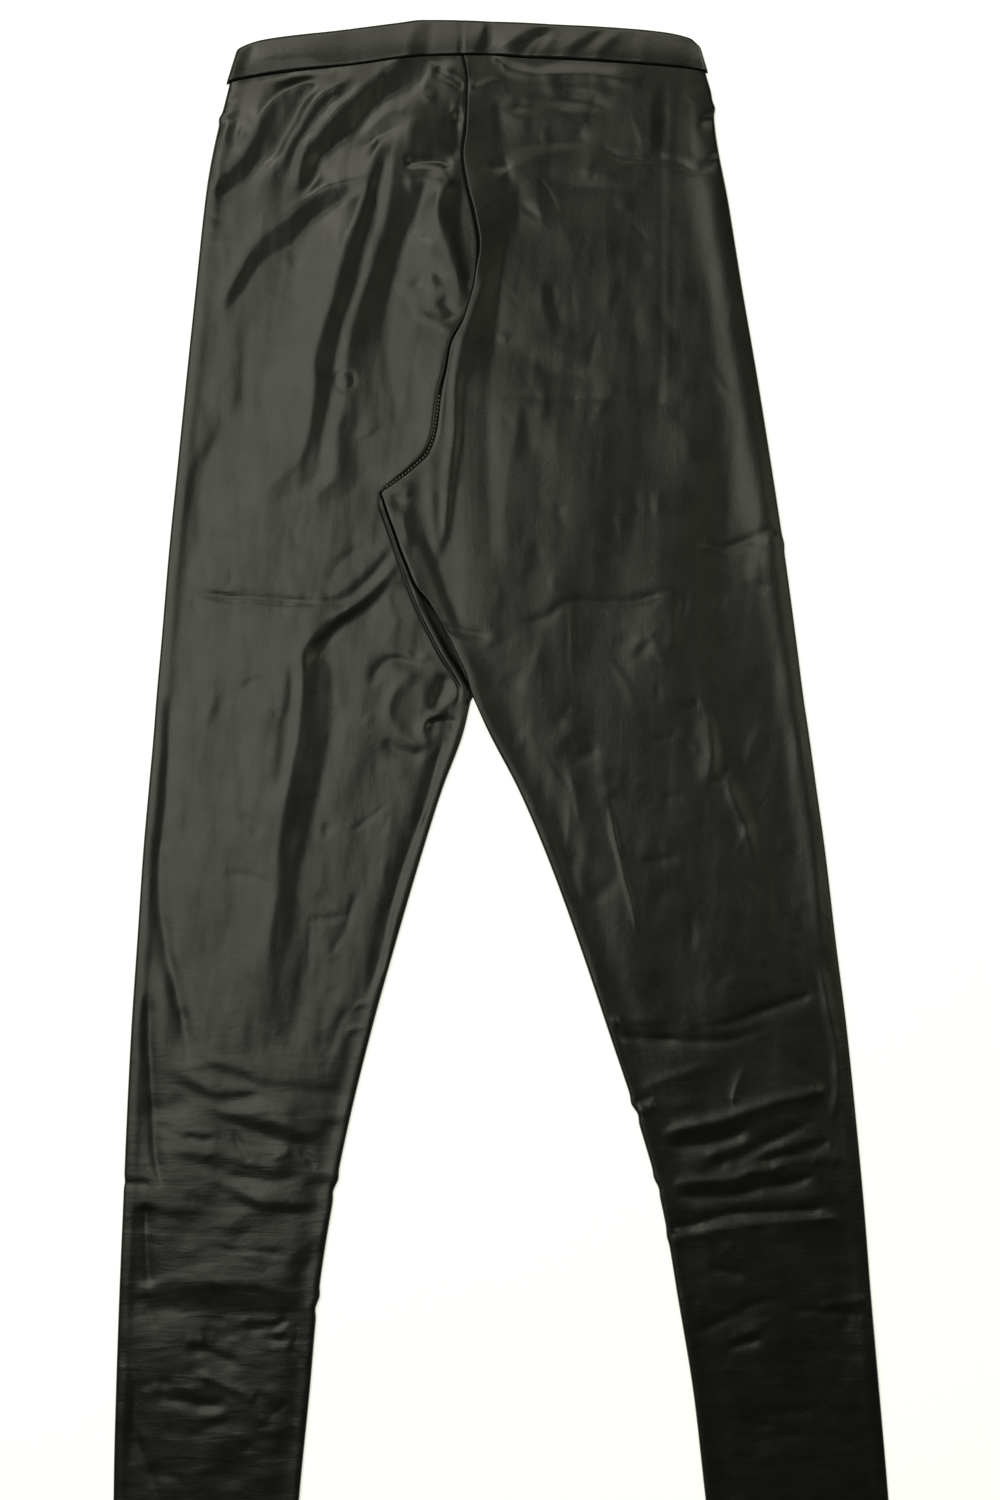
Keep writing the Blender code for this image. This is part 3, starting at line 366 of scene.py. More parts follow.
    (-1.1, 4.0, 2.5, 1.3, 0.08, 0.15, ((107.6, 798.8), (122.1, 796.2), (136.6, 792.2), (148.5, 788.9), (167.0, 787.6), (189.4, 786.9), (217.1, 784.9))),
    (0.7, 2.5, 5.0, 1.3, 0.05, 0.15, ((108.9, 804.7), (128.7, 800.8), (148.5, 796.8), (168.3, 794.2), (194.7, 791.5), (227.0, 790.9))),
    (0.3, 3.0, 3.0, 1.3, 0.4, 0.4, ((140.6, 816.6), (153.1, 806.1))),
    (-0.5, 3.5, 3.0, 1.3, 0.3, 0.3, ((130.7, 823.9), (145.2, 825.9), (161.0, 829.2))),
    (-0.4, 3.0, 3.0, 1.3, 0.2, 0.3, ((122.1, 868.8), (136.6, 862.2), (151.8, 854.9), (166.3, 847.6), (189.4, 843.7))),
    (0.5, 4.0, 2.0, 1.3, 0.3, 0.1, ((203.3, 850.3), (221.1, 847.6), (238.9, 845.0))),
    (-0.4, 2.0, 2.5, 1.3, 0.2, 0.1, ((184.8, 851.6), (207.9, 852.9), (238.9, 854.2))),
    (0.5, 2.5, 2.5, 1.3, 0.3, 0.2, ((146.5, 872.7), (156.4, 868.1), (170.9, 866.1))),
    (-0.7, 3.0, 2.5, 1.3, 0.3, 0.3, ((142.6, 878.7), (156.4, 874.7), (172.3, 870.7))),
    (0.3, 4.0, 4.0, 1.3, 0.4, 0.4, ((128.7, 841.7), (130.0, 861.5))),
    (-0.4, 4.0, 4.0, 1.3, 0.3, 0.3, ((155.1, 925.5), (171.6, 920.2), (191.4, 918.9), (210.5, 916.3))),
    (-0.35, 5.0, 5.0, 1.3, 0.3, 0.3, ((161.7, 938.7), (181.5, 934.8), (201.3, 932.8))),
    # plainly on to the hem
    (-0.3, 5.0, 5.0, 1.7, 0.3, 0.3, ((165.7, 991.5), (188.1, 985.6), (217.1, 982.3))),
    (0.26, 5.0, 5.0, 1.7, 0.3, 0.3, ((153.8, 1024.5), (178.2, 1019.9), (206.6, 1015.3))),
    (-0.22, 4.0, 5.0, 1.7, 0.3, 0.3, ((194.7, 1044.3), (217.1, 1041.0), (238.3, 1037.1))),
    (0.6, 7.0, 2.5, 1.3, 0.08, 0.12, ((-78.5, 317.0), (-71.9, 336.8), (-64.0, 356.6), (-53.5, 383.0), (-42.9, 401.5))),
]
CREASES_BAND = [
    # from the left fold to the right one
    (-0.55, 1.0, 1.0, 1.4, 0.0, 0.0, ((-29.0, -0.5), (-29.0, 26.6))),
]
# The larger folds of the front walls, as their crests and valleys. A row: fade in, fade out, then the
# line as (x, down, height) points. The cloth between them runs smoothly from one to the next.
FOLDS_LEFT = [
    # from the waistband to the knee
    (0.1, 0.1, ((-182.8, 43.8, -0.51), (-168.3, 40.5, -0.85), (-148.5, 38.5, -0.85), (-128.7, 35.8, -0.51), (-110.2, 33.9, -0.17))),
    (0.1, 0.1, ((-47.5, 27.3, -1.19), (-39.6, 26.6, -1.19), (-31.7, 25.9, -1.19))),
    (0.15, 0.1, ((-44.9, 35.8, 0.68), (-38.3, 38.5, 0.85), (-31.0, 42.4, 0.85))),
    (0.15, 0.15, ((-123.4, 39.8, 3.23), (-136.6, 43.8, 3.91), (-149.2, 50.4, 4.33), (-159.7, 62.2, 4.42), (-164.3, 75.4, 4.25), (-174.2, 91.3, 3.74), (-188.1, 105.1, 3.06), (-195.4, 114.4, 2.38))),
    (0.1, 0.15, ((-107.6, 38.5, 2.04), (-120.8, 43.8, 1.7), (-131.3, 50.4, 1.53), (-136.6, 58.9, 1.44), (-141.9, 69.5, 1.36), (-147.8, 80.1, 1.19), (-152.5, 88.0, 1.02), (-163.0, 96.6, 0.85), (-172.9, 108.4, 0.51), (-184.1, 115.7, 0.17), (-195.4, 121.6, 0.0))),
    (0.1, 0.2, ((-102.3, 41.1, 2.89), (-112.2, 45.1, 3.31), (-123.4, 51.7, 3.4), (-130.0, 60.9, 3.31), (-135.3, 71.5, 3.23), (-141.9, 82.7, 2.98), (-147.2, 91.9, 2.72), (-153.8, 99.9, 2.38), (-160.4, 109.8, 1.87), (-166.3, 122.3, 1.19))),
    (0.1, 0.25, ((-95.7, 43.8, 2.04), (-107.6, 49.7, 1.53), (-117.5, 57.6, 1.36), (-124.7, 66.2, 1.27), (-133.3, 78.1, 1.19), (-137.3, 86.0, 1.1), (-140.6, 96.6, 0.85), (-145.2, 105.1, 0.68), (-149.2, 115.7, 0.51))),
    (0.02, 0.2, ((-68.0, 26.6, 2.04), (-76.6, 32.5, 2.46), (-87.8, 41.8, 2.72), (-101.0, 51.7, 2.89), (-110.2, 60.3, 2.89), (-118.1, 69.5, 2.8), (-126.1, 78.1, 2.72), (-133.3, 87.3, 2.55), (-135.3, 95.9, 2.38), (-136.6, 103.8, 1.87), (-141.2, 115.7, 1.02))),
    (0.05, 0.15, ((-49.5, 30.6, -0.85), (-54.8, 38.5, -1.36), (-67.3, 46.4, -1.53), (-79.2, 53.0, -1.53), (-87.8, 60.9, -1.36), (-97.0, 71.5, -1.36), (-106.9, 80.7, -1.19), (-116.2, 87.3, -1.02), (-122.8, 93.3, -1.02), (-124.7, 102.5, -0.85), (-129.4, 111.1, -0.51), (-133.3, 118.3, 0.0))),
    (0.2, 0.3, ((-50.8, 60.9, -0.17), (-62.7, 58.3, -0.17), (-72.6, 59.6, -0.17), (-80.5, 64.2, 0.0), (-87.8, 71.5, 0.17), (-94.4, 79.4, 0.34))),
    (0.2, 0.3, ((-68.0, 66.9, -0.68), (-75.9, 72.1, -0.85), (-83.8, 78.1, -0.68), (-90.4, 83.4, -0.34), (-99.0, 86.0, 0.17))),
    (0.1, 0.1, ((-75.9, 76.1, 1.53), (-82.5, 81.4, 1.87), (-85.8, 89.3, 2.38), (-87.1, 97.9, 2.72), (-90.4, 108.4, 2.89), (-93.7, 119.0, 3.06), (-97.7, 132.2, 3.23), (-103.6, 145.4, 3.4), (-106.9, 158.6, 3.4), (-111.5, 171.8, 3.4), (-114.8, 185.0, 3.4), (-118.8, 198.2, 3.23), (-122.8, 211.4, 3.23), (-126.1, 224.6, 3.06), (-125.4, 237.8, 2.89), (-126.1, 251.0, 2.72), (-128.0, 264.2, 2.55), (-130.7, 277.4, 2.21), (-134.6, 288.6, 1.87), (-143.2, 297.2, 1.53), (-155.1, 306.4, 1.19), (-165.0, 313.7, 0.68))),
    (0.1, 0.15, ((-74.6, 84.7, 0.34), (-79.2, 95.9, 0.17), (-83.2, 109.1, 0.17), (-84.5, 119.0, 0.34), (-86.5, 132.2, 0.51), (-90.4, 145.4, 0.68), (-94.4, 158.6, 0.68), (-96.4, 171.8, 0.68), (-101.0, 185.0, 0.68), (-105.6, 198.2, 0.68), (-108.9, 211.4, 0.68), (-111.5, 224.6, 0.68), (-113.5, 237.8, 0.68), (-114.8, 251.0, 0.68), (-117.5, 264.2, 0.51), (-120.1, 277.4, 0.51), (-121.4, 290.6, 0.51), (-124.1, 301.2, 0.34), (-132.7, 309.1, 0.34), (-145.2, 314.4, 0.34), (-159.1, 321.0, 0.17))),
    (0.1, 0.15, ((-70.6, 79.4, 1.02), (-73.9, 92.6, 1.53), (-75.2, 105.8, 1.7), (-77.2, 119.0, 1.87), (-79.9, 132.2, 1.87), (-83.2, 145.4, 1.87), (-87.1, 158.6, 2.04), (-91.1, 171.8, 1.87), (-95.7, 185.0, 1.87), (-100.3, 198.2, 1.87), (-103.0, 211.4, 1.87), (-104.9, 224.6, 1.87), (-105.6, 237.8, 1.7), (-105.6, 251.0, 1.7), (-108.9, 264.2, 1.7), (-111.5, 277.4, 1.7), (-111.5, 290.6, 1.87), (-112.9, 299.8, 1.7), (-119.5, 309.1, 1.36), (-132.0, 315.7, 1.02), (-148.5, 323.6, 0.51))),
    (0.12, 0.2, ((-52.8, 104.5, -0.68), (-53.5, 113.7, -1.19), (-56.1, 122.3, -1.36), (-60.7, 135.5, -1.53), (-66.0, 145.4, -1.53), (-70.0, 158.6, -1.36), (-73.3, 171.8, -1.36), (-76.6, 185.0, -1.19), (-78.5, 198.2, -1.02), (-78.5, 214.7, -0.85), (-76.6, 231.2, -0.68), (-73.3, 247.7, -0.51), (-70.6, 270.8, -0.34))),
    (0.2, 0.2, ((-94.4, 254.3, 0.51), (-97.0, 270.8, 0.34), (-97.7, 290.6, 0.17), (-97.7, 303.8, 0.17), (-102.3, 311.7, 0.17), (-112.2, 319.0, 0.34))),
    (0.1, 0.1, ((-35.0, 104.5, 2.21), (-40.3, 112.4, 2.55), (-44.9, 122.3, 2.72), (-44.2, 132.2, 2.72), (-38.9, 144.1, 2.55), (-34.3, 155.3, 2.38), (-30.4, 166.5, 2.21), (-28.4, 178.4, 2.04), (-25.7, 188.3, 1.36))),
    (0.1, 0.1, ((-28.4, 92.6, -1.19), (-29.0, 105.8, -1.02), (-29.7, 119.0, -1.02), (-29.7, 133.5, -1.02), (-27.7, 148.7, -0.85), (-25.7, 163.9, -0.34), (-23.8, 178.4, 0.0))),
    (0.2, 0.2, ((-60.1, 64.9, 0.68), (-62.7, 72.8, 0.85), (-63.4, 82.7, 0.85), (-62.0, 90.6, 0.85))),
    (0.35, 0.2, ((-49.5, 144.1, 1.53), (-50.2, 155.3, 1.7), (-48.8, 168.5, 1.7), (-46.9, 179.7, 1.53))),
    (0.2, 0.1, ((-31.0, 60.9, -1.7), (-31.0, 76.1, -2.04), (-30.4, 89.3, -1.87))),
    (0.15, 0.15, ((-87.8, 100.5, 2.55), (-98.3, 105.8, 2.72), (-110.2, 108.4, 2.55), (-122.1, 111.7, 2.38), (-132.0, 120.3, 2.21), (-141.9, 129.6, 2.21), (-155.1, 138.1, 2.04), (-165.0, 147.4, 2.04), (-171.6, 158.6, 2.04), (-178.2, 170.5, 1.87), (-184.1, 181.0, 1.53), (-189.4, 192.3, 0.85))),
    (0.15, 0.15, ((-94.4, 112.4, 0.85), (-104.9, 118.3, 0.0), (-114.8, 124.9, -0.51), (-125.4, 131.5, -0.77), (-134.0, 139.5, -0.85), (-139.3, 148.0, -1.02), (-151.1, 154.6, -0.85), (-160.4, 159.9, -0.68), (-167.0, 168.5, -0.68), (-172.9, 179.7, -0.68), (-180.8, 190.3, -0.34), (-186.8, 200.8, 0.0))),
    (0.2, 0.3, ((-199.3, 254.3, 0.51), (-199.3, 267.5, 0.59), (-200.0, 277.4, 0.51), (-203.9, 287.3, 0.51), (-207.9, 297.2, 0.51), (-211.9, 317.0, 0.59), (-213.8, 346.7, 0.51), (-214.5, 366.5, 0.34))),
    (0.2, 0.3, ((-186.8, 251.0, -0.34), (-188.1, 264.2, -0.51), (-190.7, 275.4, -0.59), (-196.0, 286.0, -0.51), (-198.7, 297.2, -0.34), (-200.0, 310.4, -0.26), (-201.3, 323.6, -0.34), (-202.0, 346.7, -0.26), (-203.3, 366.5, -0.09))),
    (0.15, 0.1, ((-77.2, 346.7, 0.85), (-85.8, 357.9, 0.85), (-95.7, 367.8, 0.85), (-106.9, 377.1, 0.85), (-118.8, 381.0, 0.51))),
    (0.1, 0.1, ((-75.2, 351.3, -0.34), (-83.8, 363.2, -0.34), (-94.4, 374.4, -0.34), (-103.6, 382.3, -0.34), (-114.2, 386.3, -0.17))),
    (0.1, 0.1, ((-71.9, 356.6, 1.02), (-79.9, 367.8, 1.19), (-89.1, 377.7, 1.36), (-99.0, 385.6, 1.36), (-108.9, 392.2, 1.36), (-116.8, 398.2, 1.02))),
    (0.1, 0.1, ((-74.6, 369.8, -0.51), (-82.5, 381.0, -0.68), (-92.4, 389.6, -0.85), (-102.3, 396.2, -1.02), (-112.2, 404.1, -1.02), (-120.8, 412.7, -1.19), (-127.4, 425.9, -1.19))),
    (0.1, 0.1, ((-33.0, 199.5, 1.53), (-38.3, 214.7, 1.87), (-42.9, 234.5, 1.87), (-46.2, 254.3, 1.87), (-49.5, 274.1, 1.87), (-57.4, 287.3, 1.7), (-69.3, 298.5, 1.53), (-80.5, 307.8, 1.02))),
    (0.08, 0.15, ((-108.9, 392.2, 1.36), (-116.8, 398.8, 1.36), (-128.0, 409.4, 1.53), (-133.3, 419.3, 1.7), (-134.6, 435.8, 1.7), (-136.0, 455.6, 1.7), (-138.6, 475.4, 1.7), (-141.9, 495.2, 1.7), (-145.2, 515.0, 1.7), (-147.8, 534.8, 1.53), (-150.5, 554.6, 1.36), (-151.8, 574.4, 1.19), (-153.8, 594.2, 1.02), (-155.8, 614.0, 0.68), (-156.4, 633.8, 0.34))),
    (0.08, 0.15, ((-102.3, 396.9, -0.68), (-110.2, 406.8, -0.85), (-113.5, 422.6, -1.02), (-114.2, 449.0, -1.02), (-116.8, 475.4, -1.02), (-122.1, 501.8, -1.02), (-127.4, 528.2, -1.02), (-133.3, 554.6, -0.85), (-137.3, 581.0, -0.68), (-141.9, 607.4, -0.51), (-147.2, 633.8, -0.17))),
    (0.15, 0.2, ((-145.2, 422.6, 0.68), (-145.9, 442.4, 0.85), (-147.8, 462.2, 0.85), (-151.8, 482.0, 0.85), (-155.1, 498.5, 0.68), (-160.4, 511.7, 0.51))),
    (0.15, 0.2, ((-138.6, 422.6, 0.34), (-139.3, 442.4, 0.17), (-141.2, 462.2, 0.09), (-143.9, 482.0, 0.0), (-147.2, 498.5, 0.09), (-150.5, 515.0, 0.34))),
    # knee and calf
    (0.2, 0.2, ((-204.6, 681.3, 0.21), (-191.4, 686.6, 0.53), (-174.9, 691.9, 0.53), (-161.7, 697.2, 0.53), (-141.9, 699.1, 0.53), (-122.1, 699.8, 0.53), (-102.3, 705.1, 0.32))),
    (0.2, 0.2, ((-201.3, 687.9, 0.0), (-188.1, 694.5, -0.11), (-171.6, 700.5, -0.11), (-160.4, 704.4, 0.0), (-135.3, 706.4, -0.11), (-115.5, 709.0, 0.0), (-102.3, 711.7, 0.0))),
    (0.2, 0.2, ((-224.4, 690.6, 0.32), (-211.2, 695.8, 0.53), (-201.3, 702.4, 0.63), (-188.1, 705.7, 0.63), (-171.6, 706.4, 0.63), (-160.4, 703.8, 0.42))),
    (0.2, 0.2, ((-222.4, 698.5, -0.11), (-207.9, 706.4, -0.21), (-194.7, 712.3, -0.21), (-174.9, 712.3, -0.21), (-158.4, 709.0, -0.11))),
    (0.2, 0.2, ((-198.0, 715.0, 0.42), (-186.8, 720.9, 0.73), (-171.6, 722.9, 0.95), (-158.4, 724.2, 1.05), (-145.2, 728.8, 1.05), (-132.0, 734.1, 0.84), (-122.1, 736.8, 0.53))),
    (0.2, 0.2, ((-194.7, 723.6, 0.0), (-181.5, 728.2, -0.21), (-165.0, 733.5, -0.42), (-151.8, 738.7, -0.53), (-138.6, 742.0, -0.42), (-123.4, 742.7, -0.21))),
    (0.2, 0.1, ((-120.8, 725.5, 0.53), (-112.9, 724.2, 0.53), (-104.3, 721.6, 0.42))),
    (0.2, 0.1, ((-120.8, 730.8, -0.21), (-114.2, 730.8, -0.21), (-106.9, 729.5, -0.11))),
    (0.3, 0.3, ((-156.4, 756.6, 0.32), (-148.5, 754.6, 0.42), (-140.6, 750.0, 0.21))),
    (0.2, 0.2, ((-219.8, 746.0, 0.32), (-201.3, 747.3, 0.53), (-184.8, 749.3, 0.63), (-171.6, 753.3, 0.63), (-158.4, 757.9, 0.53), (-141.9, 758.5, 0.42))),
    (0.2, 0.2, ((-217.8, 752.6, -0.11), (-201.3, 755.9, -0.21), (-184.8, 760.5, -0.32), (-171.6, 764.5, -0.42), (-155.1, 766.5, -0.42), (-138.6, 765.1, -0.21))),
    (0.2, 0.1, ((-135.3, 764.5, 0.42), (-122.1, 762.5, 0.53), (-111.5, 763.2, 0.42))),
    (0.2, 0.1, ((-133.3, 770.4, -0.21), (-122.1, 769.1, -0.21), (-111.5, 769.1, -0.11))),
    (0.2, 0.2, ((-201.3, 761.8, 0.32), (-188.1, 766.5, 0.53), (-174.9, 772.4, 0.73), (-163.0, 779.0, 0.84), (-145.2, 780.3, 0.84), (-123.4, 781.0, 0.63))),
    (0.2, 0.2, ((-196.7, 769.8, 0.0), (-184.8, 775.7, -0.11), (-171.6, 782.3, -0.11), (-160.4, 786.3, 0.0), (-141.9, 787.6, -0.21), (-122.1, 788.2, -0.11))),
    (0.2, 0.2, ((-186.8, 798.8, 0.42), (-176.2, 791.5, 0.53), (-168.3, 788.2, 0.42))),
    (0.2, 0.2, ((-180.2, 807.4, -0.11), (-168.3, 798.8, -0.21), (-151.8, 792.2, -0.21))),
    (0.2, 0.3, ((-234.3, 781.0, 0.32), (-217.8, 783.6, 0.42), (-201.3, 785.6, 0.32))),
    (0.2, 0.3, ((-234.3, 788.2, -0.11), (-214.5, 792.2, -0.21), (-198.0, 793.5, -0.11))),
    (0.2, 0.3, ((-214.5, 769.8, 0.32), (-201.3, 773.1, 0.42), (-191.4, 776.4, 0.32))),
    (0.2, 0.3, ((-212.5, 776.4, -0.11), (-201.3, 780.3, -0.11), (-193.4, 782.3, 0.0))),
    (0.1, 0.1, ((-233.0, 831.8, 0.53), (-214.5, 832.5, 0.84), (-194.7, 833.1, 0.95), (-174.9, 834.4, 0.95), (-155.1, 837.1, 0.84), (-135.3, 841.7, 0.63))),
    (0.1, 0.1, ((-260.7, 843.0, -0.21), (-234.3, 845.0, -0.42), (-214.5, 848.3, -0.53), (-188.1, 852.9, -0.63), (-161.7, 854.9, -0.63), (-135.3, 853.6, -0.42))),
    (0.1, 0.2, ((-120.8, 800.1, 0.42), (-130.0, 807.4, 0.53), (-140.6, 816.6, 0.53), (-148.5, 823.9, 0.32))),
    (0.1, 0.2, ((-118.8, 810.7, -0.21), (-128.7, 820.6, -0.32), (-138.6, 830.5, -0.32))),
]
FOLDS_RIGHT = [
    # the roll over the rise seam, its two pleats and the extension
    (0.1, 0.1, ((-25.1, 47.7, 0.41), (-24.4, 66.2, 0.54), (-23.8, 86.0, 0.81), (-21.8, 100.5, 1.35), (-17.2, 115.7, 1.62), (-13.2, 130.9, 1.89), (-11.6, 145.4, 1.89), (-12.9, 161.9, 1.89), (-16.2, 178.4, 2.03), (-22.4, 194.9, 2.16), (-28.4, 211.4, 2.16), (-32.3, 227.9, 2.03), (-33.0, 251.0, 1.89), (-33.0, 270.8, 1.62), (-35.0, 290.6, 1.49), (-37.0, 310.4, 1.35), (-38.9, 330.2, 1.22), (-41.6, 350.0, 0.81))),
    (0.1, 0.1, ((-7.3, 49.7, -0.68), (-3.3, 66.2, -0.81), (-1.3, 86.0, -0.68), (2.0, 102.5, -0.54), (4.6, 115.7, -0.41), (4.0, 128.9, -0.27), (1.3, 145.4, -0.41), (-1.3, 161.9, -0.41), (-3.3, 178.4, -0.54), (-5.3, 198.2, -0.54), (-7.9, 218.0, -0.54), (-10.6, 251.0, -0.61), (-10.6, 284.0, -0.54), (-9.9, 317.0, -0.47), (-9.9, 356.6, -0.47))),
    (0.1, 0.05, ((-27.1, 234.5, 0.14), (-27.7, 251.0, -0.14), (-29.0, 277.4, -0.14), (-31.7, 297.2, -0.27), (-34.3, 317.0, -0.27), (-37.0, 336.8, -0.41), (-40.9, 354.0, -0.54), (-44.2, 361.9, -0.81))),
    (0.15, 0.15, ((-24.4, 251.0, 0.07), (-25.7, 277.4, 0.0), (-27.1, 303.8, 0.0), (-27.7, 330.2, 0.0), (-28.4, 356.6, 0.0), (-27.7, 383.0, 0.07), (-25.7, 397.5, 0.14))),
    (0.1, 0.1, ((-25.7, 86.0, 0.81), (-24.1, 102.5, 1.35), (-21.1, 115.7, 2.29), (-18.5, 128.9, 2.7), (-16.5, 142.1, 2.84), (-16.5, 155.3, 2.84), (-19.1, 171.8, 2.7))),
    (0.1, 0.1, ((-29.7, 204.8, 1.89), (-35.0, 218.0, 1.76), (-39.6, 234.5, 1.49), (-42.2, 251.0, 1.22), (-44.9, 267.5, 1.08))),
    (0.1, 0.1, ((-31.0, 211.4, 1.35), (-35.0, 223.3, 1.08), (-37.0, 237.8, 0.81), (-38.3, 251.0, 0.68), (-38.9, 267.5, 0.54), (-40.9, 284.0, 0.54))),
    (0.2, 0.2, ((9.9, 251.0, 0.27), (8.6, 270.8, 0.27), (4.6, 290.6, 0.2), (0.7, 317.0, 0.16), (0.7, 343.4, 0.27), (1.3, 366.5, 0.27))),
    (0.1, 0.1, ((-42.2, 287.3, 0.41), (-42.9, 303.8, 0.27), (-42.9, 323.6, 0.0), (-43.6, 343.4, -0.27))),
    (0.1, 0.1, ((-47.5, 285.3, 0.81), (-48.8, 297.2, 0.81), (-48.5, 310.4, 0.74), (-46.9, 326.9, 0.54), (-44.9, 343.4, 0.34), (-44.2, 353.3, 0.14))),
    (0.05, 0.1, ((-71.3, 308.4, 1.08), (-69.3, 320.3, 0.94), (-65.3, 333.5, 0.74), (-60.7, 346.7, 0.54))),
    (0.15, 0.1, ((-53.5, 297.2, 0.14), (-54.1, 310.4, 0.14), (-53.5, 323.6, -0.14), (-51.5, 336.8, -0.41))),
    (0.1, 0.1, ((-64.7, 330.2, 0.14), (-58.7, 343.4, 0.27), (-50.8, 359.9, 0.47), (-44.2, 376.4, 0.54), (-38.9, 390.9, 0.54), (-33.0, 404.1, 0.41))),
    (0.1, 0.1, ((-62.0, 317.0, -0.14), (-56.1, 330.2, -0.2), (-49.5, 346.7, -0.41), (-44.2, 363.2, -0.47), (-38.9, 377.7, -0.41), (-33.7, 390.9, -0.41), (-27.1, 401.5, -0.27))),
    # below the waistband
    (0.15, 0.2, ((0.0, 26.6, 0.0), (4.6, 26.6, -0.17), (13.2, 29.9, 0.0), (21.1, 33.2, 0.17), (28.4, 30.6, 0.0), (36.3, 27.9, -0.17), (56.1, 28.6, -0.17), (75.9, 30.6, 0.0))),
    (0.15, 0.2, ((-11.2, 27.9, 0.34), (-3.3, 31.2, 0.68), (6.6, 34.5, 1.19), (16.5, 36.5, 1.53), (29.7, 36.8, 1.7), (46.2, 36.8, 1.7), (62.7, 37.8, 1.53), (79.2, 40.5, 1.02), (92.4, 43.1, 0.34))),
    (0.15, 0.2, ((-5.3, 37.2, 0.0), (3.3, 38.5, 0.17), (13.2, 39.8, 0.17), (29.7, 40.5, 0.17), (49.5, 41.1, 0.17), (62.7, 41.8, 0.17), (72.6, 44.4, 0.17), (83.8, 48.4, 0.0))),
    (0.15, 0.2, ((0.0, 40.5, 0.17), (9.9, 41.1, 0.51), (23.1, 42.4, 0.85), (36.3, 43.8, 0.85), (49.5, 44.4, 0.85), (64.0, 45.7, 1.02), (68.0, 51.0, 0.85))),
    (0.15, 0.2, ((19.8, 48.4, 0.0), (29.7, 51.0, -0.17), (42.9, 53.0, -0.51), (56.1, 53.7, -0.51), (64.0, 57.0, -0.51), (68.0, 62.2, -0.51))),
    (0.2, 0.2, ((23.8, 54.3, 0.17), (31.7, 58.3, 0.68), (38.3, 62.2, 0.85), (49.5, 61.6, 0.68), (61.4, 62.9, 0.51))),
    (0.2, 0.2, ((-5.9, 49.7, 0.34), (3.3, 50.4, 0.51), (15.2, 51.0, 0.34))),
    (0.2, 0.2, ((-3.3, 57.0, -0.17), (8.6, 58.3, -0.26), (18.5, 57.0, -0.26))),
    (0.2, 0.2, ((-2.0, 62.9, 0.17), (13.2, 64.2, 0.34), (29.7, 67.5, 0.59), (46.2, 68.8, 0.59), (57.4, 70.8, 0.34))),
    (0.15, 0.2, ((-3.3, 90.6, -0.59), (6.6, 84.0, -0.68), (23.1, 80.1, -0.68), (42.9, 79.4, -0.59), (58.7, 78.7, -0.34))),
    (0.2, 0.25, ((-7.3, 103.8, 0.17), (3.3, 99.9, 0.34), (16.5, 93.3, 0.17), (36.3, 86.7, 0.17), (54.8, 86.0, 0.17))),
    (0.2, 0.2, ((26.4, 100.5, 0.34), (46.2, 99.9, 0.51), (62.7, 101.8, 0.51), (77.2, 104.5, 0.34))),
    (0.2, 0.3, ((27.1, 107.1, -0.34), (42.9, 109.1, -0.51), (62.7, 109.8, -0.51), (81.2, 111.7, -0.17))),
    (0.15, 0.15, ((97.0, 47.7, 0.85), (97.0, 62.9, 1.02), (95.7, 84.7, 0.85))),
    (0.15, 0.15, ((104.9, 46.4, 0.0), (105.6, 62.9, -0.17), (104.9, 86.0, 0.0))),
    (0.1, 0.1, ((139.9, 71.5, 1.53), (141.2, 82.7, 1.7), (141.9, 90.0, 1.53))),
    (0.2, 0.2, ((122.1, 46.4, 0.68), (123.4, 69.5, 0.85), (124.7, 86.0, 0.68))),
    # thigh
    (0.2, 0.3, ((9.2, 105.8, -0.66), (9.2, 119.0, -0.88), (8.6, 132.2, -0.88), (7.3, 145.4, -0.66))),
    (0.2, 0.3, ((18.5, 115.7, 0.22), (23.8, 126.9, 0.55), (26.4, 140.1, 0.44))),
    (0.3, 0.3, ((36.3, 133.5, 0.44), (40.9, 145.4, 0.55), (44.2, 155.3, 0.33))),
    (0.2, 0.3, ((23.8, 171.8, 0.55), (25.1, 185.0, 0.77), (27.7, 196.9, 0.66), (33.7, 211.4, 0.44))),
    (0.2, 0.3, ((31.0, 175.1, -0.33), (32.3, 188.3, -0.44), (36.3, 201.5, -0.44))),
    (0.2, 0.3, ((6.6, 219.3, -0.44), (16.5, 223.3, -0.66), (28.4, 231.2, -0.77), (42.9, 233.8, -0.66), (57.4, 233.2, -0.44))),
    (0.3, 0.3, ((4.6, 211.4, 0.33), (19.8, 213.4, 0.44), (36.3, 219.3, 0.44), (52.8, 224.6, 0.33))),
    (0.2, 0.2, ((65.3, 232.5, 0.44), (68.6, 241.1, 0.77), (70.6, 248.4, 0.66))),
    (0.2, 0.3, ((13.2, 254.3, -0.22), (14.5, 270.8, -0.44), (16.5, 287.3, -0.33))),
    (0.3, 0.3, ((33.7, 264.2, 0.44), (34.3, 290.6, 0.55), (35.6, 317.0, 0.55), (36.3, 343.4, 0.33))),
    (0.3, 0.3, ((70.6, 297.2, 0.33), (75.9, 313.7, 0.55), (83.8, 324.9, 0.55), (99.0, 328.2, 0.22))),
    (0.2, 0.2, ((108.9, 258.9, 0.44), (116.8, 270.8, 0.77), (121.4, 284.0, 0.77), (122.1, 293.9, 0.44))),
    (0.3, 0.3, ((37.6, 356.6, 0.66), (33.7, 376.4, 0.77), (28.4, 392.9, 0.55))),
    (0.3, 0.3, ((23.1, 409.4, 0.44), (21.1, 422.6, 0.66), (19.8, 435.8, 0.44))),
    (0.3, 0.3, ((69.3, 383.0, 0.22), (70.6, 390.9, 0.55), (68.0, 399.5, 0.22))),
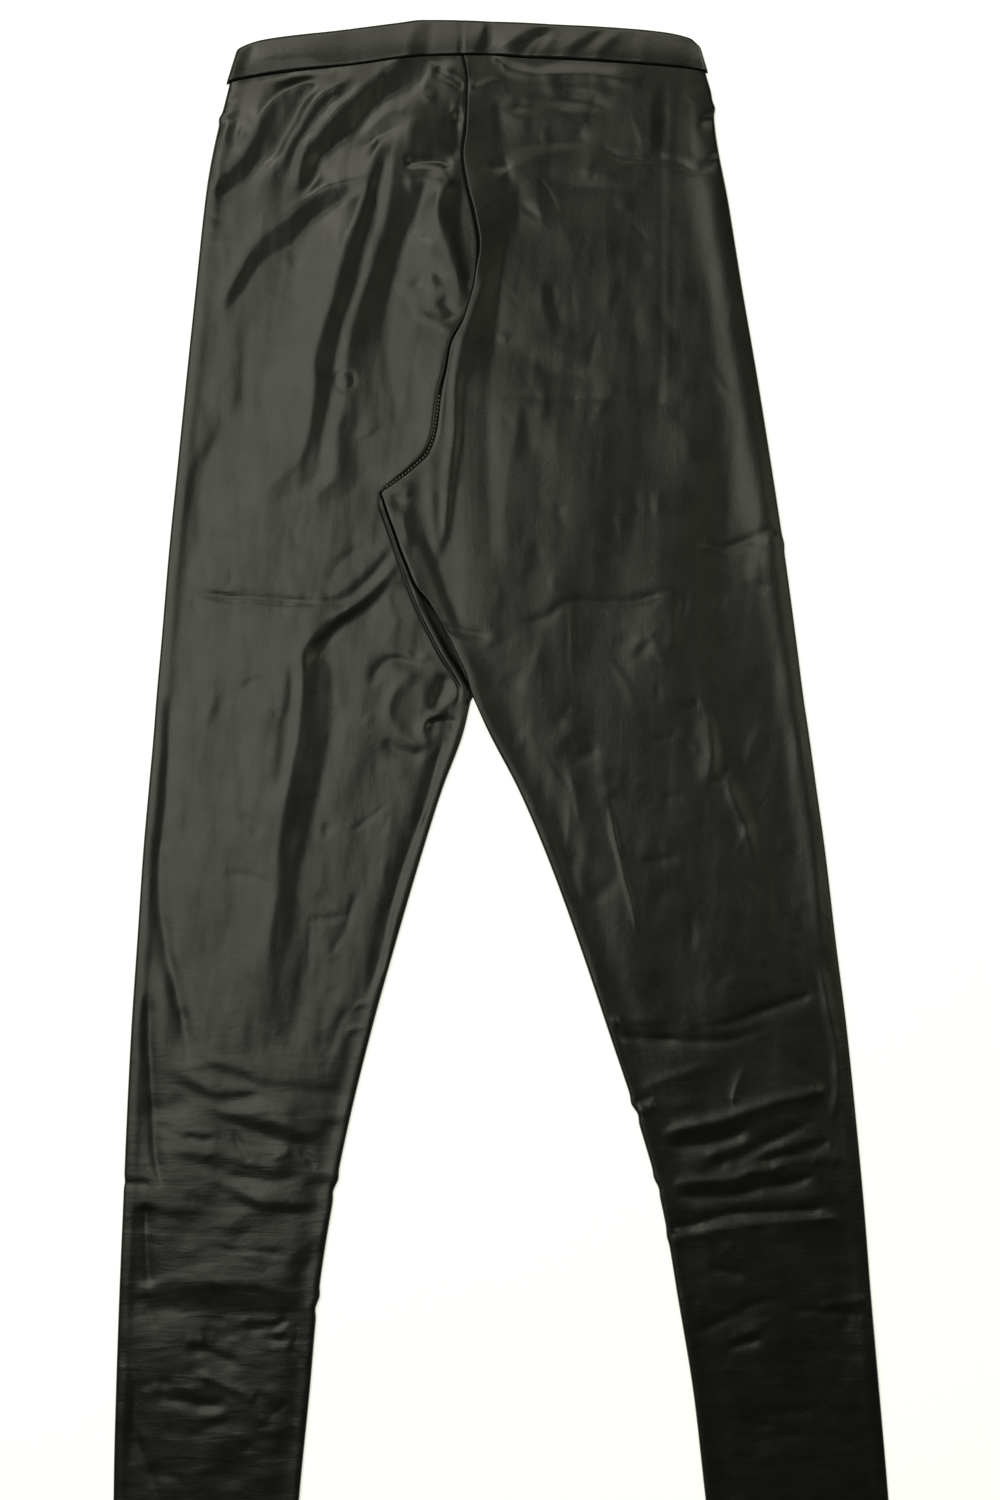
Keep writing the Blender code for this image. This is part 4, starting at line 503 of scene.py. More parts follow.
    (0.3, 0.3, ((102.3, 383.0, 0.44), (100.3, 399.5, 0.66), (102.3, 416.0, 0.55))),
    (0.3, 0.3, ((114.2, 386.3, 0.44), (114.2, 409.4, 0.66), (112.9, 435.8, 0.77), (115.5, 455.6, 0.55))),
]
FOLDS_BAND = [
    (0.15, 0.1, ((-174.2, 17.4, 0.5), (-178.2, 26.6, 0.6), (-181.5, 38.5, 0.6))),
    (0.1, 0.1, ((-166.3, 16.7, -0.5), (-170.3, 26.6, -0.6), (-173.6, 36.5, -0.5))),
    (0.1, 0.3, ((-163.0, 25.9, 0.4), (-151.8, 25.3, 0.5), (-135.3, 24.0, 0.5), (-120.8, 25.3, 0.3))),
    (0.1, 0.3, ((-168.3, 35.8, -0.3), (-151.8, 33.9, -0.3), (-135.3, 31.9, -0.3), (-122.1, 30.6, -0.1))),
    (0.2, 0.3, ((-106.9, 9.4, -0.1), (-105.6, 18.7, -0.15), (-106.9, 25.3, -0.1))),
    (0.2, 0.3, ((-85.1, 9.4, 0.1), (-86.5, 20.0, 0.2), (-89.1, 27.3, 0.2))),
    (0.05, 0.05, ((-59.4, 2.8, 0.7), (-62.7, 13.4, 0.9), (-64.0, 24.6, 0.8))),
    (0.05, 0.05, ((-50.2, 1.5, -0.9), (-50.8, 13.4, -0.9), (-52.1, 23.3, -0.7))),
    (0.05, 0.1, ((-31.7, 1.5, 0.5), (-31.7, 21.3, 0.4))),
    (0.05, 0.05, ((-14.5, 3.5, 0.6), (-17.8, 13.4, 0.6), (-21.1, 22.0, 0.5))),
    (0.05, 0.05, ((-9.9, 1.5, -1.1), (-9.9, 10.8, -1.2), (-11.2, 16.7, -1.2), (-12.5, 22.6, -1.0))),
    (0.1, 0.1, ((-5.9, 4.8, -0.5), (-5.9, 13.4, -0.4), (-6.6, 22.0, -0.4))),
    (0.05, 0.1, ((29.0, 4.2, 0.7), (14.5, 6.8, 0.9), (4.6, 13.4, 1.0), (-2.0, 20.7, 0.8))),
    (0.05, 0.1, ((29.0, 8.1, -0.3), (19.1, 14.7, -0.5), (10.6, 24.0, -0.5))),
    (0.1, 0.05, ((23.8, 12.1, 0.2), (17.8, 18.0, 0.3), (13.9, 24.6, 0.3))),
    (0.1, 0.05, ((26.4, 13.4, -0.1), (21.1, 18.7, -0.1), (17.2, 24.6, -0.1))),
    (0.1, 0.05, ((33.7, 8.1, 0.5), (26.4, 18.0, 0.5), (21.8, 25.3, 0.5))),
    (0.1, 0.1, ((37.0, 6.8, 0.3), (33.7, 16.7, 0.25), (31.0, 25.3, 0.25))),
    (0.1, 0.1, ((61.4, 6.1, 1.0), (51.5, 12.1, 1.0), (42.9, 18.0, 1.0), (37.0, 24.6, 0.9))),
    (0.1, 0.1, ((63.4, 8.8, 0.2), (54.8, 16.0, 0.1), (46.2, 22.6, 0.2))),
    (0.1, 0.1, ((73.9, 8.8, 1.1), (65.3, 16.7, 1.1), (58.7, 25.3, 1.0))),
    (0.1, 0.1, ((77.9, 12.1, 0.4), (71.3, 18.7, 0.4), (65.3, 25.9, 0.4))),
    (0.1, 0.1, ((83.8, 8.8, 0.3), (83.2, 17.4, 0.3), (81.2, 27.9, 0.3))),
    (0.1, 0.1, ((91.7, 8.1, 0.8), (91.1, 17.4, 0.8), (90.4, 29.2, 0.7))),
    (0.1, 0.1, ((122.1, 13.4, -0.7), (122.1, 30.6, -0.7))),
]
SCATTER = 190               # faint creases between the larger ones, on each leg
FOLD_REACH = 26.0           # how far beyond the last crest or valley the cloth settles back
# The same, on the back walls that lie on the surface: heights lift the wall off it.
CREASES_UNDER_LEFT = [
    # from the hip to the hem
    (0.8, 7.0, 5.0, 1.6, 0.2, 0.25, ((-168.3, 59.6), (-160.4, 86.0), (-156.4, 119.0), (-160.4, 155.3), (-168.3, 185.0))),
    (0.6, 5.0, 6.0, 1.7, 0.2, 0.3, ((-115.5, 49.7), (-120.8, 86.0), (-118.1, 125.6), (-112.9, 165.2))),
    (0.9, 8.0, 6.0, 1.6, 0.15, 0.3, ((-69.3, 79.4), (-74.6, 119.0), (-82.5, 165.2), (-87.8, 211.4), (-91.7, 251.0))),
    (0.5, 4.0, 4.0, 1.6, 0.3, 0.3, ((-191.4, 204.8), (-186.8, 237.8), (-188.1, 277.4), (-192.1, 310.4))),
    (0.7, 6.0, 5.0, 1.6, 0.2, 0.3, ((-135.3, 237.8), (-140.6, 277.4), (-143.2, 323.6), (-141.9, 363.2))),
    (0.6, 5.0, 5.0, 1.6, 0.2, 0.2, ((-201.3, 383.0), (-174.9, 387.0), (-148.5, 385.0), (-122.1, 379.0), (-102.3, 371.1))),
    (0.8, 6.0, 5.0, 1.6, 0.2, 0.3, ((-79.2, 356.6), (-87.8, 396.2), (-101.0, 435.8), (-112.2, 475.4), (-120.8, 515.0))),
    (0.5, 5.0, 4.0, 1.7, 0.3, 0.3, ((-180.2, 422.6), (-182.8, 462.2), (-184.1, 508.4), (-180.2, 548.0))),
    (0.6, 5.0, 6.0, 1.6, 0.25, 0.3, ((-135.3, 534.8), (-140.6, 574.4), (-145.2, 614.0), (-148.5, 647.0))),
    (0.9, 5.0, 4.0, 1.5, 0.2, 0.2, ((-227.7, 687.9), (-201.3, 693.2), (-171.6, 701.1), (-141.9, 702.4), (-115.5, 699.8))),
    (0.7, 4.0, 4.0, 1.5, 0.2, 0.25, ((-217.8, 719.6), (-188.1, 724.9), (-160.4, 727.5), (-135.3, 723.6))),
    (1.0, 5.0, 4.0, 1.5, 0.15, 0.2, ((-234.3, 752.6), (-204.6, 754.6), (-174.9, 759.2), (-145.2, 765.8), (-123.4, 768.4))),
    (0.6, 4.0, 3.0, 1.5, 0.25, 0.2, ((-201.3, 782.3), (-174.9, 786.9), (-148.5, 784.9), (-127.4, 779.0))),
    (0.9, 5.0, 4.0, 1.5, 0.2, 0.2, ((-240.9, 819.9), (-214.5, 825.2), (-184.8, 829.2), (-155.1, 827.8), (-132.0, 822.6))),
    (0.6, 4.0, 4.0, 1.6, 0.2, 0.3, ((-221.1, 864.8), (-194.7, 870.1), (-165.0, 872.7), (-141.9, 868.8))),
    (0.8, 5.0, 4.0, 1.5, 0.2, 0.2, ((-244.2, 912.3), (-217.8, 908.4), (-188.1, 909.7), (-158.4, 915.0))),
    (0.5, 4.0, 4.0, 1.6, 0.3, 0.3, ((-234.3, 963.8), (-207.9, 969.1), (-174.9, 970.4), (-151.8, 966.4))),
    (0.6, 4.0, 4.0, 1.6, 0.3, 0.3, ((-237.6, 1016.6), (-207.9, 1014.0), (-178.2, 1016.6), (-155.1, 1020.6))),
]
CREASES_UNDER_RIGHT = [
    # from the hip to the hem
    (0.7, 6.0, 5.0, 1.6, 0.2, 0.3, ((9.9, 53.0), (15.2, 92.6), (21.8, 132.2), (27.1, 178.4))),
    (0.9, 6.0, 8.0, 1.6, 0.15, 0.3, ((62.7, 66.2), (57.4, 112.4), (54.8, 158.6), (58.7, 204.8), (64.0, 244.4))),
    (0.5, 5.0, 4.0, 1.7, 0.3, 0.3, ((110.2, 79.4), (112.9, 119.0), (116.8, 165.2), (115.5, 204.8))),
    (0.6, 5.0, 5.0, 1.6, 0.2, 0.2, ((36.3, 257.6), (62.7, 253.6), (92.4, 252.3), (118.8, 257.6))),
    (0.8, 6.0, 6.0, 1.6, 0.2, 0.3, ((26.4, 297.2), (31.0, 336.8), (37.6, 383.0), (46.2, 422.6))),
    (0.5, 5.0, 4.0, 1.6, 0.3, 0.3, ((122.1, 303.8), (126.1, 343.4), (131.3, 389.6), (134.0, 429.2))),
    (0.6, 5.0, 6.0, 1.7, 0.25, 0.3, ((82.5, 356.6), (86.5, 402.8), (94.4, 449.0), (102.3, 495.2))),
    (0.7, 6.0, 5.0, 1.6, 0.2, 0.3, ((49.5, 462.2), (62.7, 508.4), (77.2, 554.6), (89.1, 594.2))),
    (0.5, 4.0, 5.0, 1.6, 0.3, 0.3, ((155.1, 488.6), (160.4, 534.8), (168.3, 581.0), (172.3, 620.6))),
    (0.8, 4.0, 5.0, 1.5, 0.2, 0.2, ((89.1, 666.8), (118.8, 664.2), (151.8, 657.6), (188.1, 648.3), (214.5, 643.0))),
    (0.6, 4.0, 4.0, 1.5, 0.25, 0.25, ((107.6, 707.7), (135.3, 702.4), (168.3, 695.8), (198.0, 690.6))),
    (0.9, 4.0, 5.0, 1.5, 0.15, 0.2, ((108.9, 746.0), (138.6, 743.4), (171.6, 735.4), (204.6, 726.2), (224.4, 720.9))),
    (0.7, 4.0, 4.0, 1.5, 0.2, 0.25, ((122.1, 786.9), (151.8, 783.0), (184.8, 776.4), (213.2, 772.4))),
    (1.0, 5.0, 4.0, 1.5, 0.15, 0.2, ((125.4, 823.9), (155.1, 819.9), (188.1, 816.0), (224.4, 812.0))),
    (0.6, 4.0, 4.0, 1.6, 0.25, 0.25, ((132.0, 868.8), (161.7, 864.8), (194.7, 862.2), (221.1, 863.5))),
    (0.8, 5.0, 4.0, 1.5, 0.2, 0.2, ((136.6, 911.0), (168.3, 907.0), (202.6, 905.7), (234.3, 909.7))),
    (0.5, 4.0, 4.0, 1.6, 0.3, 0.3, ((145.2, 959.8), (174.9, 957.2), (207.9, 959.8))),
    (0.6, 4.0, 4.0, 1.6, 0.3, 0.3, ((151.8, 1014.0), (181.5, 1010.0), (214.5, 1011.3), (238.3, 1016.6))),
]

# ---------------------------------------------------------------- tools


def step(t):
    t = np.clip(t, 0.0, 1.0)
    return t * t * (3.0 - 2.0 * t)


def along(table, key=0, value=1):
    """Monotone cubic through a table's rows, read by the key column; works on arrays."""
    rows = [r for r in table if r[value] is not None]
    x = np.array([r[key] for r in rows], float)
    y = np.array([r[value] for r in rows], float)
    h = np.diff(x)
    d = np.diff(y) / h
    m = np.empty_like(y)
    m[0], m[-1] = d[0], d[-1]
    for i in range(1, len(y) - 1):
        if d[i - 1] * d[i] <= 0.0:
            m[i] = 0.0
        else:
            w1, w2 = 2 * h[i] + h[i - 1], h[i] + 2 * h[i - 1]
            m[i] = (w1 + w2) / (w1 / d[i - 1] + w2 / d[i])

    def read(q):
        q = np.clip(np.asarray(q, float), x[0], x[-1])
        i = np.minimum(np.searchsorted(x, q, side="right") - 1, len(h) - 1)
        t = (q - x[i]) / h[i]
        return (
            (1 + 2 * t) * (1 - t) ** 2 * y[i] + t * (1 - t) ** 2 * h[i] * m[i]
            + t * t * (3 - 2 * t) * y[i + 1] + t * t * (t - 1) * h[i] * m[i + 1]
        )

    return read


def nicked(edge, read):
    rows = [r for r in NICKS if r[0] == edge]

    def out(down):
        down = np.asarray(down, float)
        x = read(down)
        for _, at, amount, half in rows:
            x = x + amount * np.exp(-(((down - at) / half) ** 2))
        return x

    return out


left_outer = nicked("left_out", along(OUTLINE, 0, 1))
left_inner = nicked("left_in", along(OUTLINE, 0, 2))
right_inner = nicked("right_in", along(OUTLINE, 0, 3))
right_outer = nicked("right_out", along(OUTLINE, 0, 4))
front_seam = along(FRONT_SEAM)
overlap = along(OVERLAP)
extension_edge = along(EXTENSION_EDGE)
inseam_left = along(INSEAM_LEFT)
back_seam = along(BACK_SEAM)
under_fold = along(UNDER_FOLD)
band_top = along(BAND_TOP)
band_seam = along(BAND_SEAM)


def curve_through(points, every=2.5):
    """A smooth line through given points (centripetal enough for short spans)."""
    p = np.array(points, float)
    if len(p) == 2:
        n = max(2, int(np.hypot(*(p[1] - p[0])) / every))
        t = np.linspace(0, 1, n + 1)[:, None]
        return p[0] + (p[1] - p[0]) * t
    ends = np.vstack([2 * p[0] - p[1], p, 2 * p[-1] - p[-2]])
    out = [p[0]]
    for i in range(1, len(ends) - 2):
        a, b, c, d = ends[i - 1 : i + 3]
        n = max(2, int(np.hypot(*(c - b)) / every))
        for k in range(1, n + 1):
            t = k / n
            out.append(
                0.5 * ((2 * b) + (c - a) * t + (2 * a - 5 * b + 4 * c - d) * t * t + (3 * b - a - 3 * c + d) * t ** 3)
            )
    return np.array(out)


def crease(x, down, z, row, seed):
    """Adds one crease to the heights z at the points (x, down)."""
    height, left, right, sharp, fade_in, fade_out, line = row
    pts = curve_through(line)
    reach = 3.2 * max(left, right)
    (x0, d0), (x1, d1) = pts.min(0) - reach, pts.max(0) + reach
    near = np.nonzero((x > x0) & (x < x1) & (down > d0) & (down < d1))[0]
    if not len(near):
        return
    px, pd = x[near], down[near]
    best = np.full(len(near), 1e9)
    run = np.zeros(len(near))
    side = np.zeros(len(near))
    seg = np.diff(pts, axis=0)
    length = np.hypot(*seg.T)
    start = np.concatenate([[0.0], np.cumsum(length)])
    for (ax, ad), (sx, sd), ln, s0 in zip(pts[:-1], seg, length, start[:-1]):
        t = np.clip(((px - ax) * sx + (pd - ad) * sd) / (ln * ln), 0.0, 1.0)
        ex, ed = px - ax - t * sx, pd - ad - t * sd
        d2 = ex * ex + ed * ed
        hit = d2 < best
        best[hit] = d2[hit]
        run[hit] = s0 + t[hit] * ln
        side[hit] = (sx * ed - sd * ex)[hit]
    gap = np.sqrt(best)
    total = start[-1]
    share = run / total
    least = min(0.5, 0.9 * max(left, right) / total)   # a short crease is a soft dab, not a block
    fade = np.ones_like(share)
    if fade_in > 0:
        fade *= step(share / max(fade_in, least))
    if fade_out > 0:
        fade *= step((1.0 - share) / max(fade_out, least))
    rng = np.random.RandomState(seed)
    knots = max(2, int(total / max(14.0, 2.5 * max(left, right))) + 1)
    place = share * knots
    first = np.minimum(place.astype(int), knots - 1)
    blend = step(place - first)

    def varied(spread):
        u = 1.0 + spread * rng.uniform(-1, 1, knots + 1)
        return u[first] * (1.0 - blend) + u[first + 1] * blend

    # it narrows as it runs out, and neither its height nor its width is even
    wide = np.where(side > 0, right * varied(0.22), left * varied(0.22)) * (0.55 + 0.45 * fade)
    z[near] += height * np.exp(-((gap / wide) ** sharp)) * fade * varied(0.28)


def shrink(a):
    """Half the resolution, by sums of two by two."""
    h, w = a.shape
    a = np.pad(a, ((0, h % 2), (0, w % 2)))
    return a[0::2, 0::2] + a[1::2, 0::2] + a[0::2, 1::2] + a[1::2, 1::2]


def settle(pull, pulled, grid, z, turns):
    """Relaxes the sheet: neighbours draw together, lines hold it, and it sinks slowly back to 0."""
    h, w = z.shape
    total = 4.0 + (grid / FOLD_REACH) ** 2 + pull
    odd = np.add.outer(np.arange(h), np.arange(w)) % 2 == 1
    for _ in range(turns):
        for mask in (odd, ~odd):
            p = np.pad(z, 1, mode="edge")
            want = (p[:-2, 1:-1] + p[2:, 1:-1] + p[1:-1, :-2] + p[1:-1, 2:] + pulled) / total
            z = np.where(mask, z + 1.6 * (want - z), z)
    return z


def blurred(z, sigma):
    n = int(3 * sigma) + 1
    k = np.exp(-0.5 * (np.arange(-n, n + 1) / sigma) ** 2)
    k /= k.sum()
    for axis in (0, 1):
        p = np.pad(z, [(n, n) if a == axis else (0, 0) for a in (0, 1)], mode="edge")
        z = sum(w * np.take(p, np.arange(i, i + z.shape[axis]), axis=axis) for i, w in enumerate(k))
    return z


def fold_field(rows, x0, x1, d1):
    """Heights over the panel between its crests and valleys, as a function of (x, down)."""
    d0, wide, tall = 0.0, int(x1 - x0) + 1, int(d1) + 1
    pull, pulled = np.zeros((tall, wide)), np.zeros((tall, wide))
    for fade_in, fade_out, line in rows:
        pts = curve_through([p[:2] for p in line], 0.45)
        run = np.concatenate([[0.0], np.cumsum(np.hypot(*np.diff(pts, axis=0).T))])
        given = [0.0]
        for q in line[1:]:
            given.append(run[max(1, int(np.argmin(np.hypot(pts[:, 0] - q[0], pts[:, 1] - q[1]))))])
        h = np.interp(run, given, [p[2] for p in line])
        share = run / run[-1]
        hold = 1.2 * step(share / max(fade_in, 1e-3)) * step((1.0 - share) / max(fade_out, 1e-3))
        i, j = np.rint(pts[:, 1] - d0).astype(int), np.rint(pts[:, 0] - x0).astype(int)
        ok = (i >= 0) & (i < tall) & (j >= 0) & (j < wide)
        np.add.at(pull, (i[ok], j[ok]), hold[ok])
        np.add.at(pulled, (i[ok], j[ok]), (hold * h)[ok])
    levels = [(pull, pulled)]
    while len(levels) < 5:
        levels.append(tuple(shrink(a) for a in levels[-1]))
    z = np.zeros(levels[-1][0].shape)
    for n in range(4, -1, -1):
        pull, pulled = levels[n]
        if n < 4:
            z = np.repeat(np.repeat(z, 2, 0), 2, 1)[: pull.shape[0], : pull.shape[1]]
        z = settle(pull, pulled, 2.0 ** n, z, 40 if n else 70)
    z = blurred(z, 1.25)

    def read(x, down):
        fx = np.clip(np.asarray(x, float) - x0, 0.0, wide - 1.001)
        fd = np.clip(np.asarray(down, float) - d0, 0.0, tall - 1.001)
        j, i = fx.astype(int), fd.astype(int)
        u, v = fx - j, fd - i
        return (
            (z[i, j] * (1 - u) + z[i, j + 1] * u) * (1 - v) + (z[i + 1, j] * (1 - u) + z[i + 1, j + 1] * u) * v
        )

    return read


def swell(x, down, seed, size, amount, stretch=1.0, turn=0.0):
    """Low random swells of the cloth: smooth noise of about that size, longer along the leg by stretch."""
    rng = np.random.RandomState(seed)
    total = np.zeros_like(x)
    ca, sa = math.cos(turn), math.sin(turn)
    u, v = x * ca + down * sa, (-x * sa + down * ca) / stretch
    for _ in range(14):
        ang = rng.uniform(0, 2 * math.pi)
        k = 2 * math.pi / (size * rng.uniform(0.7, 1.6))
        total += np.sin(k * (u * math.cos(ang) + v * math.sin(ang)) + rng.uniform(0, 2 * math.pi))
    return total * amount / math.sqrt(14 / 2)


def drag(x, down, seed):
    """Faint streaks: along the leg down to the knee, across it below."""
    low = step((down - 640.0) / 120.0)
    along_leg = swell(x, down, seed, 9.0, 0.030, 5.0, 0.12) + swell(x, down, seed + 50, 17.0, 0.050, 3.5, -0.10)
    across_leg = swell(down, x, seed + 100, 9.0, 0.028, 3.5, 0.10) + swell(down, x, seed + 150, 17.0, 0.050, 2.6, -0.12)
    return along_leg * (1.0 - low) + across_leg * low


def rim(table, gap, down):
    """Height that the puffed strip along an edge adds, gap mm in from it."""
    t = np.array(table, float)
    h, at, dip, far = (np.interp(down, t[:, 0], t[:, i]) for i in (1, 2, 3, 4))
    strip = h * np.exp(-(((gap - at) / np.where(gap < at, at * 0.9, at * 0.75)) ** 2))
    behind = dip * np.exp(-(((gap - far) / (0.5 * far)) ** 2))
    return strip - behind


def row_down(side, level, x):
    """Where a row runs: along the waistband's seam at the top, square to the leg at the hem."""
    down = level + np.zeros_like(x)
    fade = 1.0 - step((level - SEAM_LEVEL) / SEAM_FADE)
    if fade > 0.0:
        down = down + (band_seam(x) - SEAM_LEVEL) * fade
    tilt = HEM_TILT[side] * float(step((level - 760.0) / (HEM[side] - 760.0)))
    if tilt:
        edges = (left_outer, left_inner) if side == "left" else (right_outer, right_inner)
        down = down + tilt * (x - 0.5 * (edges[0](level) + edges[1](level)))
    return down


# ---------------------------------------------------------------- front walls


def scattered(side, seed):
    """Faint creases of wear between the larger ones, no two alike: down the thigh, across the calf."""
    rng = np.random.RandomState(seed)
    edges = (left_outer, left_inner) if side == "left" else (right_inner, right_outer)
    rows = []
    for k in range(SCATTER):
        level = rng.uniform(40.0, HEM[side] - 35.0)
        lo, hi = edges[0](max(level, SPLIT)), edges[1](max(level, SPLIT))
        x = rng.uniform(lo + 14.0, hi - 14.0)
        across = float(step((level - 560.0) / 160.0))
        lean = math.radians(rng.normal(78.0 * (1.0 - across) + 4.0 * across, 24.0 - 10.0 * across))
        lean *= -1.0 if side == "left" and level < 420.0 else 1.0
        half = rng.uniform(6.0, 20.0)
        bend = rng.uniform(-0.22, 0.22) * half
        ux, ud = math.cos(lean), math.sin(lean)
        line = tuple(
            (x + ux * t * half - ud * bend * (1.0 - t * t), level + ud * t * half + ux * bend * (1.0 - t * t))
            for t in (-1.0, -0.5, 0.0, 0.5, 1.0)
        )
        wide = rng.uniform(2.2, 5.5)
        height = rng.choice((-1.0, 1.0)) * wide * rng.uniform(0.02, 0.065)
        rows.append((height, wide, wide * rng.uniform(0.5, 1.4), 1.9, 0.45, 0.45, line))
    return rows


left_scatter = scattered("left", 61)
right_scatter = scattered("right", 62)
left_folds = fold_field(FOLDS_LEFT, -265.0, 40.0, 1072.0)
right_folds = fold_field(FOLDS_RIGHT, -95.0, 265.0, 1072.0)
band_folds = fold_field(FOLDS_BAND, -195.0, 145.0, 52.0)


def left_front(x, down, level):
    """Top of the left leg's front wall. level is the row's own, for what follows the rows."""
    z = FRONT + 0.45 * np.sin(np.clip((x - left_outer(level)) / 150.0, 0, 1) * math.pi)
    z += swell(x, down, 11, 62.0, SWELL, 2.0) + swell(x, down, 12, 27.0, 0.26 * SWELL, 2.4, 0.15)
    z += swell(x, down, 13, 13.0, 0.04 * SWELL, 1.6, -0.3) + 0.75 * drag(x, down, 14)
    z += rim(RIM_LEFT_OUT, x - left_outer(level), level)
    below = step((level - 442.0) / 34.0)
    z += below * rim(RIM_LEFT_IN, left_inner(np.maximum(level, SPLIT)) - x, level)
    # towards the rise seam the wall climbs onto the folded extensions
    edge = np.minimum(front_seam(level), back_seam(level) - 2.0)
    climb = 1.0 - step((level - 240.0) / (CROTCH + 6.0 - 240.0))
    z += (OVER_TWO - FRONT) * step((x - (edge - 118.0)) / 112.0) * climb
    z = z + left_folds(x, down)
    for i, row in enumerate(CREASES_LEFT + left_scatter):
        crease(x, down, z, row, 100 + i)
    return z


def left_strip(x, down, level, z):
    """The left leg's inseam, the strip beside it and the gap under the extension's edge."""
    on = step((level - 308.0) / 10.0) * (1.0 - step((level - 438.0) / 16.0))
    gap = x - inseam_left(level)
    z = z + on * (-0.7 * np.exp(-((gap / 0.75) ** 2)) + 0.3 * np.exp(-(((gap - 2.6) / 1.8) ** 2)))
    # past the strip the wall dives under the right leg's extension
    open_gap = step((level - 366.0) / 16.0)
    edge = np.minimum(inseam_left(level) + 4.9, extension_edge(np.minimum(level, 443.5)) - 1.3)
    under = UNDER + (GAP_LOW - UNDER) * open_gap * (1.0 - step((x - extension_edge(np.minimum(level, 443.5)) - 1.0) / 6.0))
    dive = step((x - edge) / 2.2) * (gap > 0.0) * (level >= CROTCH) * (1.0 - step((level - SPLIT + 1.0) / 7.0))
    return z + (under - z) * dive


def right_front(x, down, level):
    """Top of the right leg's front wall."""
    z = FRONT + 0.35 * np.sin(np.clip((right_outer(level) - x) / 230.0, 0, 1) * math.pi)
    z += swell(x, down, 21, 66.0, SWELL, 2.0) + swell(x, down, 22, 28.0, 0.26 * SWELL, 2.4, -0.15)
    z += swell(x, down, 23, 13.0, 0.04 * SWELL, 1.6, 0.3) + 0.45 * drag(x, down, 24)
    z += rim(RIM_RIGHT_OUT, right_outer(level) - x, level)
    below = step((level - 380.0) / 60.0)
    z += below * rim(RIM_RIGHT_IN, x - right_edge(level), level)
    lift = 1.0 - step((level - SPLIT) / 52.0)
    fold = right_fold(level) + 0.2
    near = 1.0 - step((x - fold + 30.0) / 96.0)
    z = z + (OVER_TWO - FRONT) * near * lift
    z = z + right_folds(x, down)
    for i, row in enumerate(CREASES_RIGHT + right_scatter):
        crease(x, down, z, row, 300 + i)
    return z


def right_edge(level):
    level = np.asarray(level, float)
    share = np.clip((level - 443.5) / (SPLIT - 443.5), 0.0, 1.0)
    return extension_edge(np.minimum(level, 443.5)) * (1.0 - share) + right_inner(np.maximum(level, SPLIT)) * share


def right_fold(level):
    level = np.asarray(level, float)
    near_edge = right_edge(level) + 13.3
    return np.where(level < 405.0, under_fold(level) + 1.8, np.maximum(under_fold(np.minimum(level, SPLIT)) + 1.8, near_edge))


def right_back(x, level):
    """Underside of the right leg's back wall, over the left leg's folded extension."""
    lift = 1.0 - step((level - SPLIT) / 48.0)
    near = 1.0 - step((x - right_fold(level)) / 20.0)
    return CLEAR + (BACK_OVER - CLEAR) * near * lift


def band_body(v):
    """How full the waistband's face is, from its fold (0) to its seam (1)."""
    v = np.clip(v, 0.0, 1.0)
    rise = np.sin(0.5 * math.pi * np.minimum(v / BAND_CREST, 1.0)) ** 1.1
    fall = np.cos(0.5 * math.pi * np.clip((v - BAND_CREST) / (1.0 - BAND_CREST), 0.0, 1.0)) ** 0.6
    return np.where(v < BAND_CREST, rise, fall)


# ---------------------------------------------------------------- shells


def mesh_object(name, verts, faces, material):
    mesh = bpy.data.meshes.new(name)
    verts = np.asarray(verts, np.float32)
    world = np.stack([verts[:, 0], TOP - verts[:, 1], verts[:, 2]], axis=1) * np.float32(MM)
    faces = np.asarray(faces, np.int32)
    mesh.vertices.add(len(world))
    mesh.vertices.foreach_set("co", world.ravel())
    mesh.loops.add(faces.size)
    mesh.loops.foreach_set("vertex_index", faces.ravel())
    mesh.polygons.add(len(faces))
    mesh.polygons.foreach_set("loop_start", np.arange(0, faces.size, faces.shape[1], dtype=np.int32))
    mesh.update(calc_edges=True)
    mesh.validate()
    mesh.shade_smooth()
    made = bpy.data.objects.new(name, mesh)
    bpy.context.scene.collection.objects.link(made)
    mesh.materials.append(material)
    return made


def quads(ids):
    """Quads of a grid of vertex numbers, rows down and columns across."""
    a, b, c, d = ids[:-1, :-1], ids[:-1, 1:], ids[1:, 1:], ids[1:, :-1]
    q = np.stack([a, b, c, d], axis=-1).reshape(-1, 4)
    same = (q[:, 0] == q[:, 1]) & (q[:, 2] == q[:, 3])
    return q[~same]


def spaced(first, last, count, lead):
    """Positions from first to last in each row: lead distances first, then even ones."""
    first, last = np.asarray(first, float), np.asarray(last, float)
    sign = np.sign(last - first)
    lead = np.asarray(lead, float)
    head = first[:, None] + sign[:, None] * lead[None, :]
    t = np.linspace(0, 1, count - len(lead) + 1)[1:]
    tail = head[:, -1:] + (last[:, None] - head[:, -1:]) * t[None, :]
    return np.hstack([head, tail])


def turn_points(edge, z_top, z_bot, towards, count, bulge):
    """Rounded fold at an edge, from the top wall to the bottom one, as (x, z) columns."""
    a = np.linspace(0, math.pi, count + 2)[1:-1]
    mid, half = 0.5 * (z_top + z_bot), 0.5 * (z_top - z_bot)
    x = edge[:, None] - towards * bulge[:, None] * (1.0 - np.sin(a)[None, :])
    z = mid[:, None] + half[:, None] * np.cos(a)[None, :]
    return x, z


def levels_of(side, fine):
    base = np.arange(SEAM_LEVEL, HEM[side] - HEM_TURN - 4.0, fine)
    tail = np.linspace(base[-1] + fine, HEM[side] - 0.5, 14)
    return np.concatenate([base, tail])


